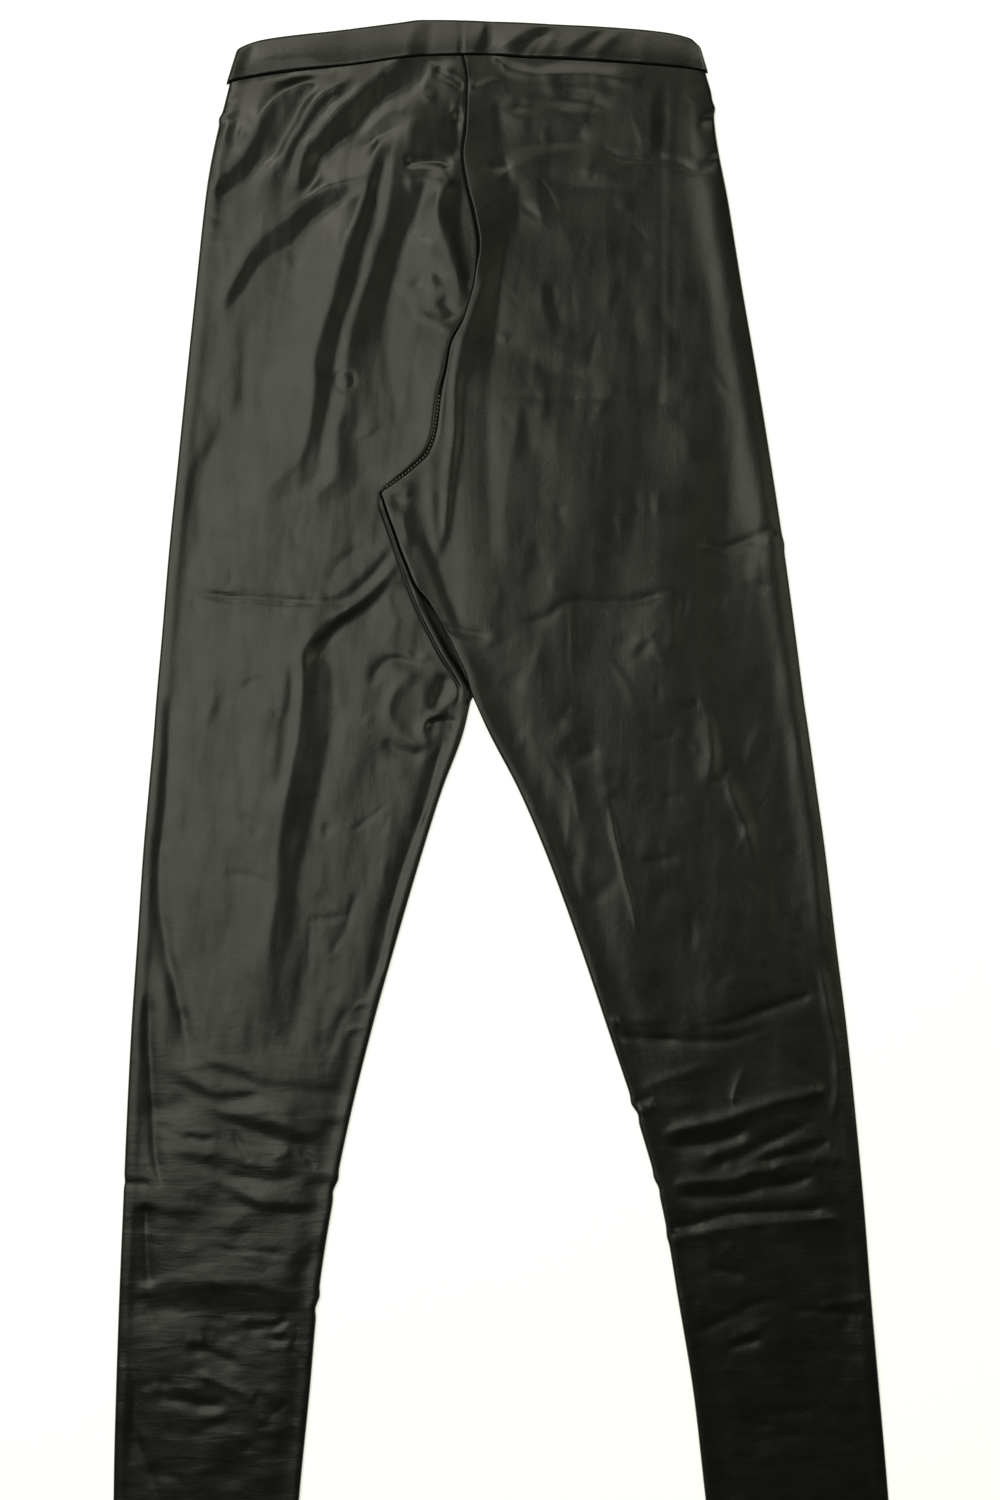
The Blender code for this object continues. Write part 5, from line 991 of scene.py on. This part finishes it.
def seam_tuck(gap, level):
    """How far a panel turns down into the rise seam, gap mm from it: more where the beads show."""
    beaded = step((level - 225.0) / 24.0)
    depth = SEAM_TUCK * (0.34 + 0.16 * step((level - 96.0) / 45.0) + 0.5 * beaded)
    return depth * np.exp(-((gap / (0.6 + 0.75 * beaded)) ** 1.5))


def make_left(fine=2.0, across=104):
    lv = levels_of("left", fine)
    closed = lv >= CROTCH
    below = lv > SPLIT
    outer = left_outer(lv)
    start = np.where(closed, np.where(below, left_inner(np.maximum(lv, SPLIT)) - INSEAM_SET_IN, inseam_left(lv)), front_seam(lv) - 0.1)
    blend = step((lv - SPLIT + 12.0) / 24.0)
    start = np.where(closed, inseam_left(lv) * (1 - blend) + (left_inner(np.maximum(lv, SPLIT)) - INSEAM_SET_IN) * blend, start)
    inner = np.where(below, left_inner(np.maximum(lv, SPLIT)), under_fold(lv) + 0.4)
    bulge_out = np.full_like(lv, 2.3)
    lead = [0.0, 0.5, 1.0, 1.6, 2.3, 3.1, 4.0, 5.0]
    xf = spaced(start, outer + bulge_out, across, lead)
    L = np.repeat(lv[:, None], xf.shape[1], 1)
    df = np.array([row_down("left", l, r) for l, r in zip(lv, xf)])
    zf = left_front(xf.ravel(), df.ravel(), L.ravel()).reshape(xf.shape)
    zf = left_strip(xf.ravel(), df.ravel(), L.ravel(), zf.ravel()).reshape(xf.shape)
    # the panel's edge turns down into the rise seam
    gap = start[:, None] - xf
    tuck = np.where(closed[:, None], 0.0, seam_tuck(gap, L))
    zf -= tuck * step((CROTCH - L) / 14.0)
    # back wall
    turn_x, turn_z = turn_points(outer, zf[:, -1], np.full_like(lv, CLEAR), -1.0, 9, bulge_out)
    top_in = np.where(below, 0.0, UNDER) + np.zeros_like(lv)
    bulge_in = np.where(below, 2.0, 1.1)
    xb = spaced(outer + bulge_out, inner - bulge_in, 26, [0.0, 2.0])
    db = np.array([row_down("left", l, r) for l, r in zip(lv, xb)])
    zb = CLEAR + under_height("left", xb, db, np.repeat(lv[:, None], xb.shape[1], 1), outer, inner)
    # the strip that returns from the inner fold to the inseam or the back seam
    end = np.where(closed, start, back_seam(lv))
    xr = spaced(end, inner - bulge_in, 18, [0.0, 0.6, 1.3, 2.1, 3.0, 3.9, 4.8, 5.8])[:, ::-1]
    dr = np.array([row_down("left", l, r) for l, r in zip(lv, xr)])
    Lr = np.repeat(lv[:, None], xr.shape[1], 1)
    zr_closed = left_front(xr.ravel(), dr.ravel(), Lr.ravel())
    zr_closed = left_strip(xr.ravel(), dr.ravel(), Lr.ravel(), zr_closed).reshape(xr.shape)
    zr = np.where(closed[:, None], zr_closed, UNDER)
    ti_x, ti_z = turn_points(inner, zr[:, 0], zb[:, -1], 1.0, 9, bulge_in)
    ti_x, ti_z = ti_x[:, ::-1], ti_z[:, ::-1]
    X = np.hstack([xf, turn_x, xb, ti_x, xr])
    Z = np.hstack([zf, turn_z, zb, ti_z, zr])
    D = np.array([row_down("left", l, r) for l, r in zip(lv, X)])
    return ring_shell("leg_left_cloth", "left", lv, X, D, Z, closed)


def make_right(fine=2.05, across=142):
    lv = levels_of("right", fine)
    closed = lv >= CROTCH
    outer = right_outer(lv)
    edge = right_edge(np.maximum(lv, CROTCH))
    start = front_seam(lv) + 0.1 - overlap(lv)
    bulge_out = np.full_like(lv, 2.3)
    bulge_in = 1.3 + 0.8 * step((lv - SPLIT) / 40.0)
    lead = [0.0, 0.6, 1.2, 1.9, 2.7, 3.6]
    begin = np.where(closed, edge + bulge_in, start + 1.6)
    xf = spaced(begin, outer - bulge_out, across, lead)
    L = np.repeat(lv[:, None], xf.shape[1], 1)
    df = np.array([row_down("right", l, r) for l, r in zip(lv, xf)])
    zf = right_front(xf.ravel(), df.ravel(), L.ravel()).reshape(xf.shape)
    gap = xf - start[:, None]
    zf -= np.where(closed[:, None], 0.0, seam_tuck(gap, L))
    turn_x, turn_z = turn_points(outer, zf[:, -1], np.full_like(lv, CLEAR), 1.0, 9, bulge_out)
    fold = right_fold(lv)
    near0 = np.where(closed, edge + bulge_in, back_seam(lv) + 3.0)
    xb = np.hstack([
        spaced(outer - bulge_out, fold + 20.0, 19, [0.0, 2.0]),
        np.stack([fold + d for d in (16.0, 12.5, 9.0, 5.5, 2.5, 0.0)], 1),
        np.stack([fold + (near0 - fold) * t for t in (0.25, 0.5, 0.75, 1.0)], 1),
    ])
    Lb = np.repeat(lv[:, None], xb.shape[1], 1)
    db = np.array([row_down("right", l, r) for l, r in zip(lv, xb)])
    zb = right_back(xb, Lb) + under_height("right", xb, db, Lb, outer, right_fold(lv) + 18.0)
    low = zb[:, -1]
    # inner fold below the crotch point; above it the two ends are the seams' edges
    a = np.linspace(0, math.pi, 11)
    mid, half = 0.5 * (zf[:, 0] + low), 0.5 * (zf[:, 0] - low)
    fx = edge[:, None] + bulge_in[:, None] * (1.0 - np.sin(a)[None, :])
    fz = mid[:, None] + half[:, None] * np.cos(a)[None, :]
    head_x, head_z = fx[:, 1:6][:, ::-1], fz[:, 1:6][:, ::-1]   # apex first
    tail_x, tail_z = fx[:, 6:10][:, ::-1], fz[:, 6:10][:, ::-1]
    t = np.linspace(0, 1, 6)[:-1]
    open_hx = start[:, None] + 1.6 * t[None, :]
    open_hz = zf[:, :1] - 1.4 * (1.0 - t[None, :]) ** 2
    open_tx = back_seam(lv)[:, None] + 3.0 * (1.0 - np.linspace(0, 1, 6)[None, 1:5])
    open_tz = np.repeat(low[:, None], 4, 1)
    hx = np.where(closed[:, None], head_x, open_hx)
    hz = np.where(closed[:, None], head_z, open_hz)
    tx = np.where(closed[:, None], tail_x, open_tx)
    tz = np.where(closed[:, None], tail_z, open_tz)
    X = np.hstack([hx, xf, turn_x, xb, tx])
    Z = np.hstack([hz, zf, turn_z, zb, tz])
    # close the ring on the apex
    X = np.hstack([X, np.where(closed, X[:, 0], back_seam(lv))[:, None]])
    Z = np.hstack([Z, np.where(closed, Z[:, 0], low)[:, None]])
    D = np.array([row_down("right", l, r) for l, r in zip(lv, X)])
    return ring_shell("leg_right_cloth", "right", lv, X, D, Z, closed)


def under_height(side, x, down, level, outer, inner):
    """Soft creases of a back wall: it lies on the surface, and only creases lift off it."""
    z = np.zeros(x.size)
    flat_x, flat_d = x.ravel(), down.ravel()
    for i, row in enumerate(CREASES_UNDER_LEFT if side == "left" else CREASES_UNDER_RIGHT):
        crease(flat_x, flat_d, z, row, 500 + i)
    z = np.clip(z.reshape(x.shape), 0.0, 1.3)
    if side == "left":
        keep = step((x - outer[:, None] - 3.0) / 6.0) * step((inner[:, None] - 3.0 - x) / 6.0)
    else:
        keep = step((outer[:, None] - 3.0 - x) / 6.0) * step((x - inner[:, None]) / 6.0)
    return z * keep


def ring_shell(name, side, lv, X, D, Z, closed):
    """One leg's shell, with its hem turned up inside."""
    rows, cols = X.shape
    jp = int(np.argmax(closed))
    # turned-up hem: round the fold, then back up inside both walls
    x, d, z = X[-1].copy(), D[-1].copy(), Z[-1].copy()
    mid_x = 0.5 * (x.min() + x.max())
    top = z > 0.5 * (z.max() + z.min())
    inx = np.where(x < mid_x, 1.0, -1.0) * np.clip(1.0 - (np.minimum(x - x.min(), x.max() - x) / 3.0), 0, 1)
    inside = np.where(top, -1.0, 1.0)
    extra_x, extra_d, extra_z = [], [], []
    for share, sink in ((0.0, 0.25), (0.0, 0.62), (-0.6, 0.85), (-3.0, 0.9), (-7.0, 0.9), (-11.0, 0.9), (-14.5, 0.9), (-HEM_TURN, 0.8)):
        extra_x.append(x + inx * sink * 1.1)
        extra_d.append(d + (0.55 if share == 0.0 and sink < 0.5 else 0.45 if share == 0.0 else share))
        extra_z.append(z + inside * sink)
    X = np.vstack([X, extra_x])
    D = np.vstack([D, extra_d])
    Z = np.vstack([Z, extra_z])
    rows = X.shape[0]
    ids = np.arange(rows * cols).reshape(rows, cols)
    ids[jp:, -1] = ids[jp:, 0]
    faces = quads(ids)
    verts = np.stack([X.ravel(), D.ravel(), Z.ravel()], axis=1)
    used = np.unique(faces)
    remap = np.full(len(verts), -1)
    remap[used] = np.arange(len(used))
    faces = remap[faces]
    if side == "right":
        faces = faces[:, ::-1]
    return mesh_object(name, verts[used], faces, LEATHER)


def make_band():
    """The waistband: one strip folded over at the top, all round the waist."""
    across_f, across_b, turn = 190, 64, 9
    up = np.concatenate([np.linspace(0.0, 1.0, 20), [1.0] * 0])
    left0, right0 = -177.5, 129.5
    left1, right1 = -184.2, 134.2
    rows_v = np.concatenate([np.linspace(1.0, 0.06, 20), np.linspace(0.04, 0.0, 3), [0.0, 0.0], np.linspace(0.02, 0.94, 8)])
    sink = np.concatenate([np.zeros(20), [0.10, 0.28, 0.55], [0.9, 1.25], np.full(8, 1.45)])
    X, D, Z = [], [], []
    uf = np.linspace(1, 0, across_f)
    ub = np.linspace(0, 1, across_b)
    a = np.linspace(0, math.pi, turn + 2)[1:-1]
    for v, s in zip(rows_v, sink):
        lo = left0 + v * (left1 - left0)
        hi = right0 + v * (right1 - right0)
        r = 1.9
        span = hi - lo - 2 * r
        xf, xb = lo + r + span * uf, lo + r + span * ub
        # front, a little fuller between its fold and its seam
        body = float(band_body(v))
        zf = BAND_LOW + BAND_PUFF * body - 0.6 * math.exp(-((1.0 - v) / 0.035) ** 2) - s
        zf = np.full_like(xf, zf)
        zb = np.full_like(xb, CLEAR + 0.05 + s * 0.95)
        top_l, top_r = zf[-1], zf[0]
        xl = lo + r * (1.0 - np.sin(a))
        zl = 0.5 * (top_l + zb[0]) + 0.5 * (top_l - zb[0]) * np.cos(a)
        xr = hi - r * (1.0 - np.sin(a))
        zr = 0.5 * (top_r + zb[-1]) - 0.5 * (top_r - zb[-1]) * np.cos(a)
        x = np.concatenate([xf, xl + s * 0.9, xb, xr - s * 0.9])
        z = np.concatenate([zf, zl, zb, zr])
        share = np.clip((x - lo) / (hi - lo), 0, 1)
        t = band_top(left0 + share * (right0 - left0))
        b = band_seam(left1 + share * (right1 - left1)) - 0.25
        d = t + v * (b - t) - (0.35 * math.exp(-(((s - 0.6) / 0.5) ** 2)) if v < 0.05 else 0.0)
        X.append(x)
        D.append(d)
        Z.append(z)
    X, D, Z = np.array(X), np.array(D), np.array(Z)
    outer_rows = 25
    zz = Z[:outer_rows].ravel().copy()
    front = np.tile(np.arange(X.shape[1]) < across_f, outer_rows)
    add = np.zeros_like(zz)
    add += band_folds(X[:outer_rows].ravel(), D[:outer_rows].ravel())
    for i, row in enumerate(CREASES_BAND):
        crease(X[:outer_rows].ravel(), D[:outer_rows].ravel(), add, row, 700 + i)
    add += swell(X[:outer_rows].ravel(), D[:outer_rows].ravel(), 41, 40.0, 0.10, 1.0)
    zz += np.where(front, add, 0.0)
    Z[:outer_rows] = zz.reshape(outer_rows, -1)
    rows, cols = X.shape
    ids = np.arange(rows * cols).reshape(rows, cols)
    ids = np.hstack([ids, ids[:, :1]])
    faces = quads(ids)
    verts = np.stack([X.ravel(), D.ravel(), Z.ravel()], axis=1)
    return mesh_object("waistband_cloth", verts, faces, BAND_LEATHER)


# ---------------------------------------------------------------- stitches

HEM_ROWS = (17.2, 12.6)     # the twin rows over the turned-up hem, up from its fold
# Visible stitches: piece, pitch, length, width, height, turn from the row in degrees, how far to
# the row's right their level is taken and how much lower they lie, then the row (x, down).
STITCH_ROWS = [
    # overlock along the rise, on the seam allowance beside the roll
    ("left", 1.45, 2.9, 0.85, 0.80, 72.0, 1.8, -0.05, ((-24.0, 130.0), (-22.6, 137.5), (-21.6, 144.0), (-21.3, 150.5), (-21.5, 158.0))),
    # the seam's own beads, from the thigh to the crotch point
    ("left", 2.5, 2.05, 1.35, 0.85, 24.0, 2.6, 0.22, ((-43.3, 247.7), (-45.1, 262.0), (-47.2, 275.0), (-49.2, 281.0), (-53.0, 288.0), (-64.0, 298.0), (-72.0, 304.0), (-78.6, 308.6))),
    # a short ladder of them under the waistband's own join
    ("left", 2.0, 1.6, 0.60, 0.45, 82.0, 1.6, 0.30, ((-29.6, 26.0), (-27.8, 32.5), (-26.3, 40.0))),
    ("band", 2.2, 1.4, 0.50, 0.35, 86.0, 1.4, 0.20, ((-29.0, 3.0), (-29.0, 21.5))),
]


def tree_of(piece):
    mesh = piece.data
    co = np.empty(len(mesh.vertices) * 3, np.float32)
    mesh.vertices.foreach_get("co", co)
    loops = np.empty(len(mesh.loops), np.int32)
    mesh.loops.foreach_get("vertex_index", loops)
    return BVHTree.FromPolygons(co.reshape(-1, 3).tolist(), loops.reshape(-1, 4).tolist())


def grain(rings=4, sides=6):
    """One stitch, 1 by 1 by 1: a bead with pointed ends, as (points, faces)."""
    pts = [(-0.5, 0.0, 0.0)]
    for i in range(1, rings):
        a = math.pi * i / rings
        for j in range(sides):
            b = 2 * math.pi * j / sides
            pts.append((-0.5 * math.cos(a), 0.5 * math.sin(a) ** 0.7 * math.cos(b), 0.5 * math.sin(a) ** 0.7 * math.sin(b)))
    pts.append((0.5, 0.0, 0.0))
    ring = lambda i, j: 1 + (i - 1) * sides + j % sides
    last = len(pts) - 1
    faces = []
    for j in range(sides):
        faces.append((0, ring(1, j + 1), ring(1, j)))
        faces.append((last, ring(rings - 1, j), ring(rings - 1, j + 1)))
        for i in range(1, rings - 1):
            faces.append((ring(i, j), ring(i, j + 1), ring(i + 1, j + 1)))
            faces.append((ring(i, j), ring(i + 1, j + 1), ring(i + 1, j)))
    return np.array(pts), np.array(faces)


def make_stitches(trees):
    """All the thread that shows, as beads half sunk in the cloth."""
    shape, faces = grain()
    rng = np.random.RandomState(9)
    rows = [row + (False,) for row in STITCH_ROWS]
    for side, outer, inner in (("left", left_outer, left_inner), ("right", right_outer, right_edge)):
        for up in HEM_ROWS:
            level = HEM[side] - up
            ends = sorted((float(outer(level)), float(inner(level))))
            xs = np.linspace(ends[0] + 1.2, ends[1] - 1.2, 24)
            line = tuple(zip(xs, row_down(side, level, xs)))
            rows.append((side, 3.0, 2.3, 0.60, 0.45, 0.0, 0.0, 0.0, line, False))
            rows.append((side, 3.0, 2.3, 0.60, 0.45, 0.0, 0.0, 0.0, line, True))
    out_v, out_f = [], []
    for piece, pitch, length, width, height, turn, beside, sunk, line, below in rows:
        pts = curve_through(line, 0.3)
        run = np.concatenate([[0.0], np.cumsum(np.hypot(*np.diff(pts, axis=0).T))])
        for s in np.arange(0.5 * pitch, run[-1], pitch):
            x, d = np.interp(s, run, pts[:, 0]), np.interp(s, run, pts[:, 1])
            x2, d2 = np.interp(s + 0.4, run, pts[:, 0]), np.interp(s + 0.4, run, pts[:, 1])
            x1, d1 = np.interp(s - 0.4, run, pts[:, 0]), np.interp(s - 0.4, run, pts[:, 1])
            go = Vector((x2 - x1, d1 - d2, 0.0)).normalized()
            at = Vector((x * MM, (TOP - d) * MM, 0.0))
            start = at + Vector((go.y, -go.x, 0.0)) * beside * MM + Vector((0.0, 0.0, -0.02 if below else 0.05))
            hit, normal, _, _ = trees[piece].ray_cast(start, Vector((0.0, 0.0, 1.0 if below else -1.0)))
            if hit is None:
                continue
            if (normal.z > 0.0) == below:
                normal = -normal
            hit = Vector((at.x, at.y, hit.z - sunk * MM))
            go = (go - normal * go.dot(normal)).normalized()
            across = normal.cross(go)
            a = math.radians(turn + rng.uniform(-4.0, 4.0))
            go, across = go * math.cos(a) + across * math.sin(a), across * math.cos(a) - go * math.sin(a)
            size = rng.uniform(0.93, 1.07)
            frame3 = np.array([list(go * length * size), list(across * width), list(normal * height)]) * MM
            centre = np.array(list(hit)) + np.array(list(normal)) * (0.0 if below else 0.08 * height) * MM
            local = shape.copy()
            if below:
                local[:, 2] = local[:, 2] * 0.4       # pressed flat against the surface it lies on
            out_f.append(faces + sum(len(v) for v in out_v))
            out_v.append(local @ frame3 + centre)
    verts = np.vstack(out_v)
    verts[:, 2] = np.maximum(verts[:, 2], 0.00002)
    back = np.stack([verts[:, 0] / MM, TOP - verts[:, 1] / MM, verts[:, 2] / MM], axis=1)
    return mesh_object("stitches", back, np.vstack(out_f), THREAD)


# ---------------------------------------------------------------- materials


def new_material(name):
    made = bpy.data.materials.new(name)
    made.use_nodes = True
    tree = made.node_tree
    tree.nodes.clear()
    out = tree.nodes.new("ShaderNodeOutputMaterial")
    surface = tree.nodes.new("ShaderNodeBsdfPrincipled")
    tree.links.new(surface.outputs["BSDF"], out.inputs["Surface"])
    return made, tree, surface


def faux_leather(name, seed, rough):
    """Coated jersey: near-black, a soft broad gloss, a fine pressed grain and faint cloudiness."""
    made, tree, surface = new_material(name)
    nodes, links = tree.nodes, tree.links
    place = nodes.new("ShaderNodeTexCoord")
    shift = nodes.new("ShaderNodeMapping")
    shift.inputs["Location"].default_value = (seed * 1.7, seed * 0.9, 0.0)
    links.new(place.outputs["Object"], shift.inputs["Vector"])

    def noise(scale, detail, roughness):
        n = nodes.new("ShaderNodeTexNoise")
        n.inputs["Scale"].default_value = scale
        n.inputs["Detail"].default_value = detail
        n.inputs["Roughness"].default_value = roughness
        links.new(shift.outputs["Vector"], n.inputs["Vector"])
        return n

    cloud = noise(22.0, 3.0, 0.55)
    ramp = nodes.new("ShaderNodeValToRGB")
    ramp.color_ramp.elements[0].position, ramp.color_ramp.elements[0].color = 0.30, (*BLACK_LOW, 1.0)
    ramp.color_ramp.elements[1].position, ramp.color_ramp.elements[1].color = 0.72, (*BLACK_HIGH, 1.0)
    links.new(cloud.outputs["Fac"], ramp.inputs["Fac"])
    links.new(ramp.outputs["Color"], surface.inputs["Base Color"])

    wear = noise(48.0, 4.0, 0.6)
    spread = nodes.new("ShaderNodeMapRange")
    spread.inputs["From Min"].default_value = 0.3
    spread.inputs["From Max"].default_value = 0.7
    spread.inputs["To Min"].default_value = rough - 0.03
    spread.inputs["To Max"].default_value = rough + 0.04
    links.new(wear.outputs["Fac"], spread.inputs["Value"])
    links.new(spread.outputs["Result"], surface.inputs["Roughness"])

    grain = nodes.new("ShaderNodeTexVoronoi")
    grain.feature = "SMOOTH_F1"
    grain.inputs["Scale"].default_value = 1500.0
    grain.inputs["Smoothness"].default_value = 0.6
    links.new(shift.outputs["Vector"], grain.inputs["Vector"])
    fine = nodes.new("ShaderNodeBump")
    fine.inputs["Strength"].default_value = 0.5
    fine.inputs["Distance"].default_value = 0.00002
    links.new(grain.outputs["Distance"], fine.inputs["Height"])
    pucker = noise(260.0, 3.0, 0.5)
    soft = nodes.new("ShaderNodeBump")
    soft.inputs["Strength"].default_value = 0.6
    soft.inputs["Distance"].default_value = 0.00011
    links.new(pucker.outputs["Fac"], soft.inputs["Height"])
    links.new(fine.outputs["Normal"], soft.inputs["Normal"])
    # fine crinkles: across the legs from the knee down, a fainter drag along them above it
    height = nodes.new("ShaderNodeSeparateXYZ")
    links.new(place.outputs["Object"], height.inputs["Vector"])
    last = soft
    for along_y, scale, amount, y_full, y_none in ((False, (26.0, 150.0, 1.0), 0.00022, -0.22, -0.06), (True, (110.0, 14.0, 1.0), 0.00010, 0.05, -0.25)):
        turn = nodes.new("ShaderNodeMapping")
        turn.inputs["Scale"].default_value = scale
        turn.inputs["Rotation"].default_value = (0.0, 0.0, 0.10 if along_y else -0.12)
        links.new(shift.outputs["Vector"], turn.inputs["Vector"])
        lines = nodes.new("ShaderNodeTexNoise")
        lines.inputs["Scale"].default_value = 1.0
        lines.inputs["Detail"].default_value = 3.0
        lines.inputs["Roughness"].default_value = 0.55
        lines.inputs["Distortion"].default_value = 0.6
        links.new(turn.outputs["Vector"], lines.inputs["Vector"])
        where = nodes.new("ShaderNodeMapRange")
        where.interpolation_type = "SMOOTHSTEP"
        where.inputs["From Min"].default_value = y_none
        where.inputs["From Max"].default_value = y_full
        where.inputs["To Min"].default_value = 0.0
        where.inputs["To Max"].default_value = 0.8
        links.new(height.outputs["Y"], where.inputs["Value"])
        crinkle = nodes.new("ShaderNodeBump")
        crinkle.inputs["Distance"].default_value = amount
        links.new(where.outputs["Result"], crinkle.inputs["Strength"])
        links.new(lines.outputs["Fac"], crinkle.inputs["Height"])
        links.new(last.outputs["Normal"], crinkle.inputs["Normal"])
        last = crinkle
    links.new(last.outputs["Normal"], surface.inputs["Normal"])
    surface.inputs["IOR"].default_value = 1.5
    surface.inputs["Specular IOR Level"].default_value = 0.5
    return made


def thread_material(name):
    made, tree, surface = new_material(name)
    nodes, links = tree.nodes, tree.links
    place = nodes.new("ShaderNodeTexCoord")
    ply = nodes.new("ShaderNodeTexWave")
    ply.inputs["Scale"].default_value = 900.0
    ply.inputs["Distortion"].default_value = 2.0
    links.new(place.outputs["Object"], ply.inputs["Vector"])
    bump = nodes.new("ShaderNodeBump")
    bump.inputs["Strength"].default_value = 0.5
    bump.inputs["Distance"].default_value = 0.00005
    links.new(ply.outputs["Fac"], bump.inputs["Height"])
    links.new(bump.outputs["Normal"], surface.inputs["Normal"])
    ramp = nodes.new("ShaderNodeValToRGB")
    ramp.color_ramp.elements[0].color = (0.060, 0.060, 0.054, 1.0)
    ramp.color_ramp.elements[1].color = (0.125, 0.124, 0.112, 1.0)
    links.new(ply.outputs["Fac"], ramp.inputs["Fac"])
    links.new(ramp.outputs["Color"], surface.inputs["Base Color"])
    surface.inputs["Roughness"].default_value = 0.45
    return made


# ---------------------------------------------------------------- build

SWELL = 0.20
SEAM_TUCK = 1.3
BLACK_LOW = (0.0026, 0.0026, 0.0023)
BLACK_HIGH = (0.0036, 0.0036, 0.0032)

LEATHER = faux_leather("faux_leather_legs", 1.0, 0.285)
BAND_LEATHER = faux_leather("faux_leather_band", 5.0, 0.285)
THREAD = thread_material("black_thread")

left = make_left()
right = make_right()
band = make_band()
stitches = make_stitches({"left": tree_of(left), "right": tree_of(right), "band": tree_of(band)})
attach(stitches, "root")

for piece, node, slot in ((left, "leg_left", "leg_panels"), (right, "leg_right", "leg_panels"), (band, "waistband", "waistband")):
    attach(piece, "root")
    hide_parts(node)

# ---------------------------------------------------------------- surface, light, camera


def area_light(name, at, aim, size, size_y, power, colour):
    light = bpy.data.lights.new(name, "AREA")
    light.shape = "RECTANGLE"
    light.size, light.size_y = size, size_y
    light.energy = power
    light.color = colour
    made = bpy.data.objects.new(name, light)
    made.location = at
    from mathutils import Vector
    made.rotation_mode = "QUATERNION"
    made.rotation_quaternion = (Vector(aim) - Vector(at)).to_track_quat("-Z", "Y")
    bpy.context.scene.collection.objects.link(made)
    return made


def floor_material():
    made, tree, surface = new_material("pale_surface")
    nodes, links = tree.nodes, tree.links
    place = nodes.new("ShaderNodeTexCoord")
    mottle = nodes.new("ShaderNodeTexNoise")
    mottle.inputs["Scale"].default_value = 1.2
    links.new(place.outputs["Object"], mottle.inputs["Vector"])
    ramp = nodes.new("ShaderNodeValToRGB")
    ramp.color_ramp.elements[0].color = (0.90, 0.90, 0.875, 1.0)
    ramp.color_ramp.elements[1].color = (0.93, 0.93, 0.905, 1.0)
    links.new(mottle.outputs["Fac"], ramp.inputs["Fac"])
    links.new(ramp.outputs["Color"], surface.inputs["Base Color"])
    surface.inputs["Roughness"].default_value = 0.9
    surface.inputs["Specular IOR Level"].default_value = 0.1
    surface.inputs["Emission Color"].default_value = (1.0, 1.0, 0.98, 1.0)
    surface.inputs["Emission Strength"].default_value = 0.6
    return made


bpy.ops.mesh.primitive_plane_add(size=40.0, location=(0.0, 0.0, 0.0))
floor = bpy.context.object
floor.name = "floor"
floor.data.materials.append(floor_material())

world = bpy.data.worlds.new("studio")
bpy.context.scene.world = world
world.use_nodes = True
world.node_tree.nodes["Background"].inputs["Color"].default_value = (1.0, 1.0, 0.72, 1.0)
world.node_tree.nodes["Background"].inputs["Strength"].default_value = 0.05

area_light("light_left", (-1.180, 0.350, 2.500), (0.0, 0.0, 0.0), 1.600, 2.450, 29.5, (1.0, 0.995, 0.85))
area_light("light_top", (-0.144, 2.350, 2.600), (0.0, 0.05, 0.0), 2.400, 1.500, 27.0, (1.0, 0.99, 0.80))
area_light("light_glint", (-0.950, 1.500, 2.500), (0.0, 0.0, 0.0), 0.500, 0.500, 4.6, (1.0, 0.995, 0.86))
area_light("light_right", (1.300, 0.200, 1.800), (0.05, 0.05, 0.0), 0.700, 1.500, 4.4, (1.0, 0.99, 0.76))

camera = bpy.data.cameras.new("camera")
camera.sensor_width = 36.0
camera.lens = 70.0
half_height = 0.495
distance = half_height / (18.0 / 70.0)
eye = bpy.data.objects.new("camera", camera)
eye.location = (-0.0033, 0.0530, distance + 0.004)
eye.rotation_euler = (0.0, 0.0, 0.0)
bpy.context.scene.collection.objects.link(eye)
bpy.context.scene.camera = eye

scene = bpy.context.scene
scene.view_settings.view_transform = "Standard"
scene.view_settings.look = "None"
scene.view_settings.exposure = 0.0
scene.view_settings.gamma = 1.0
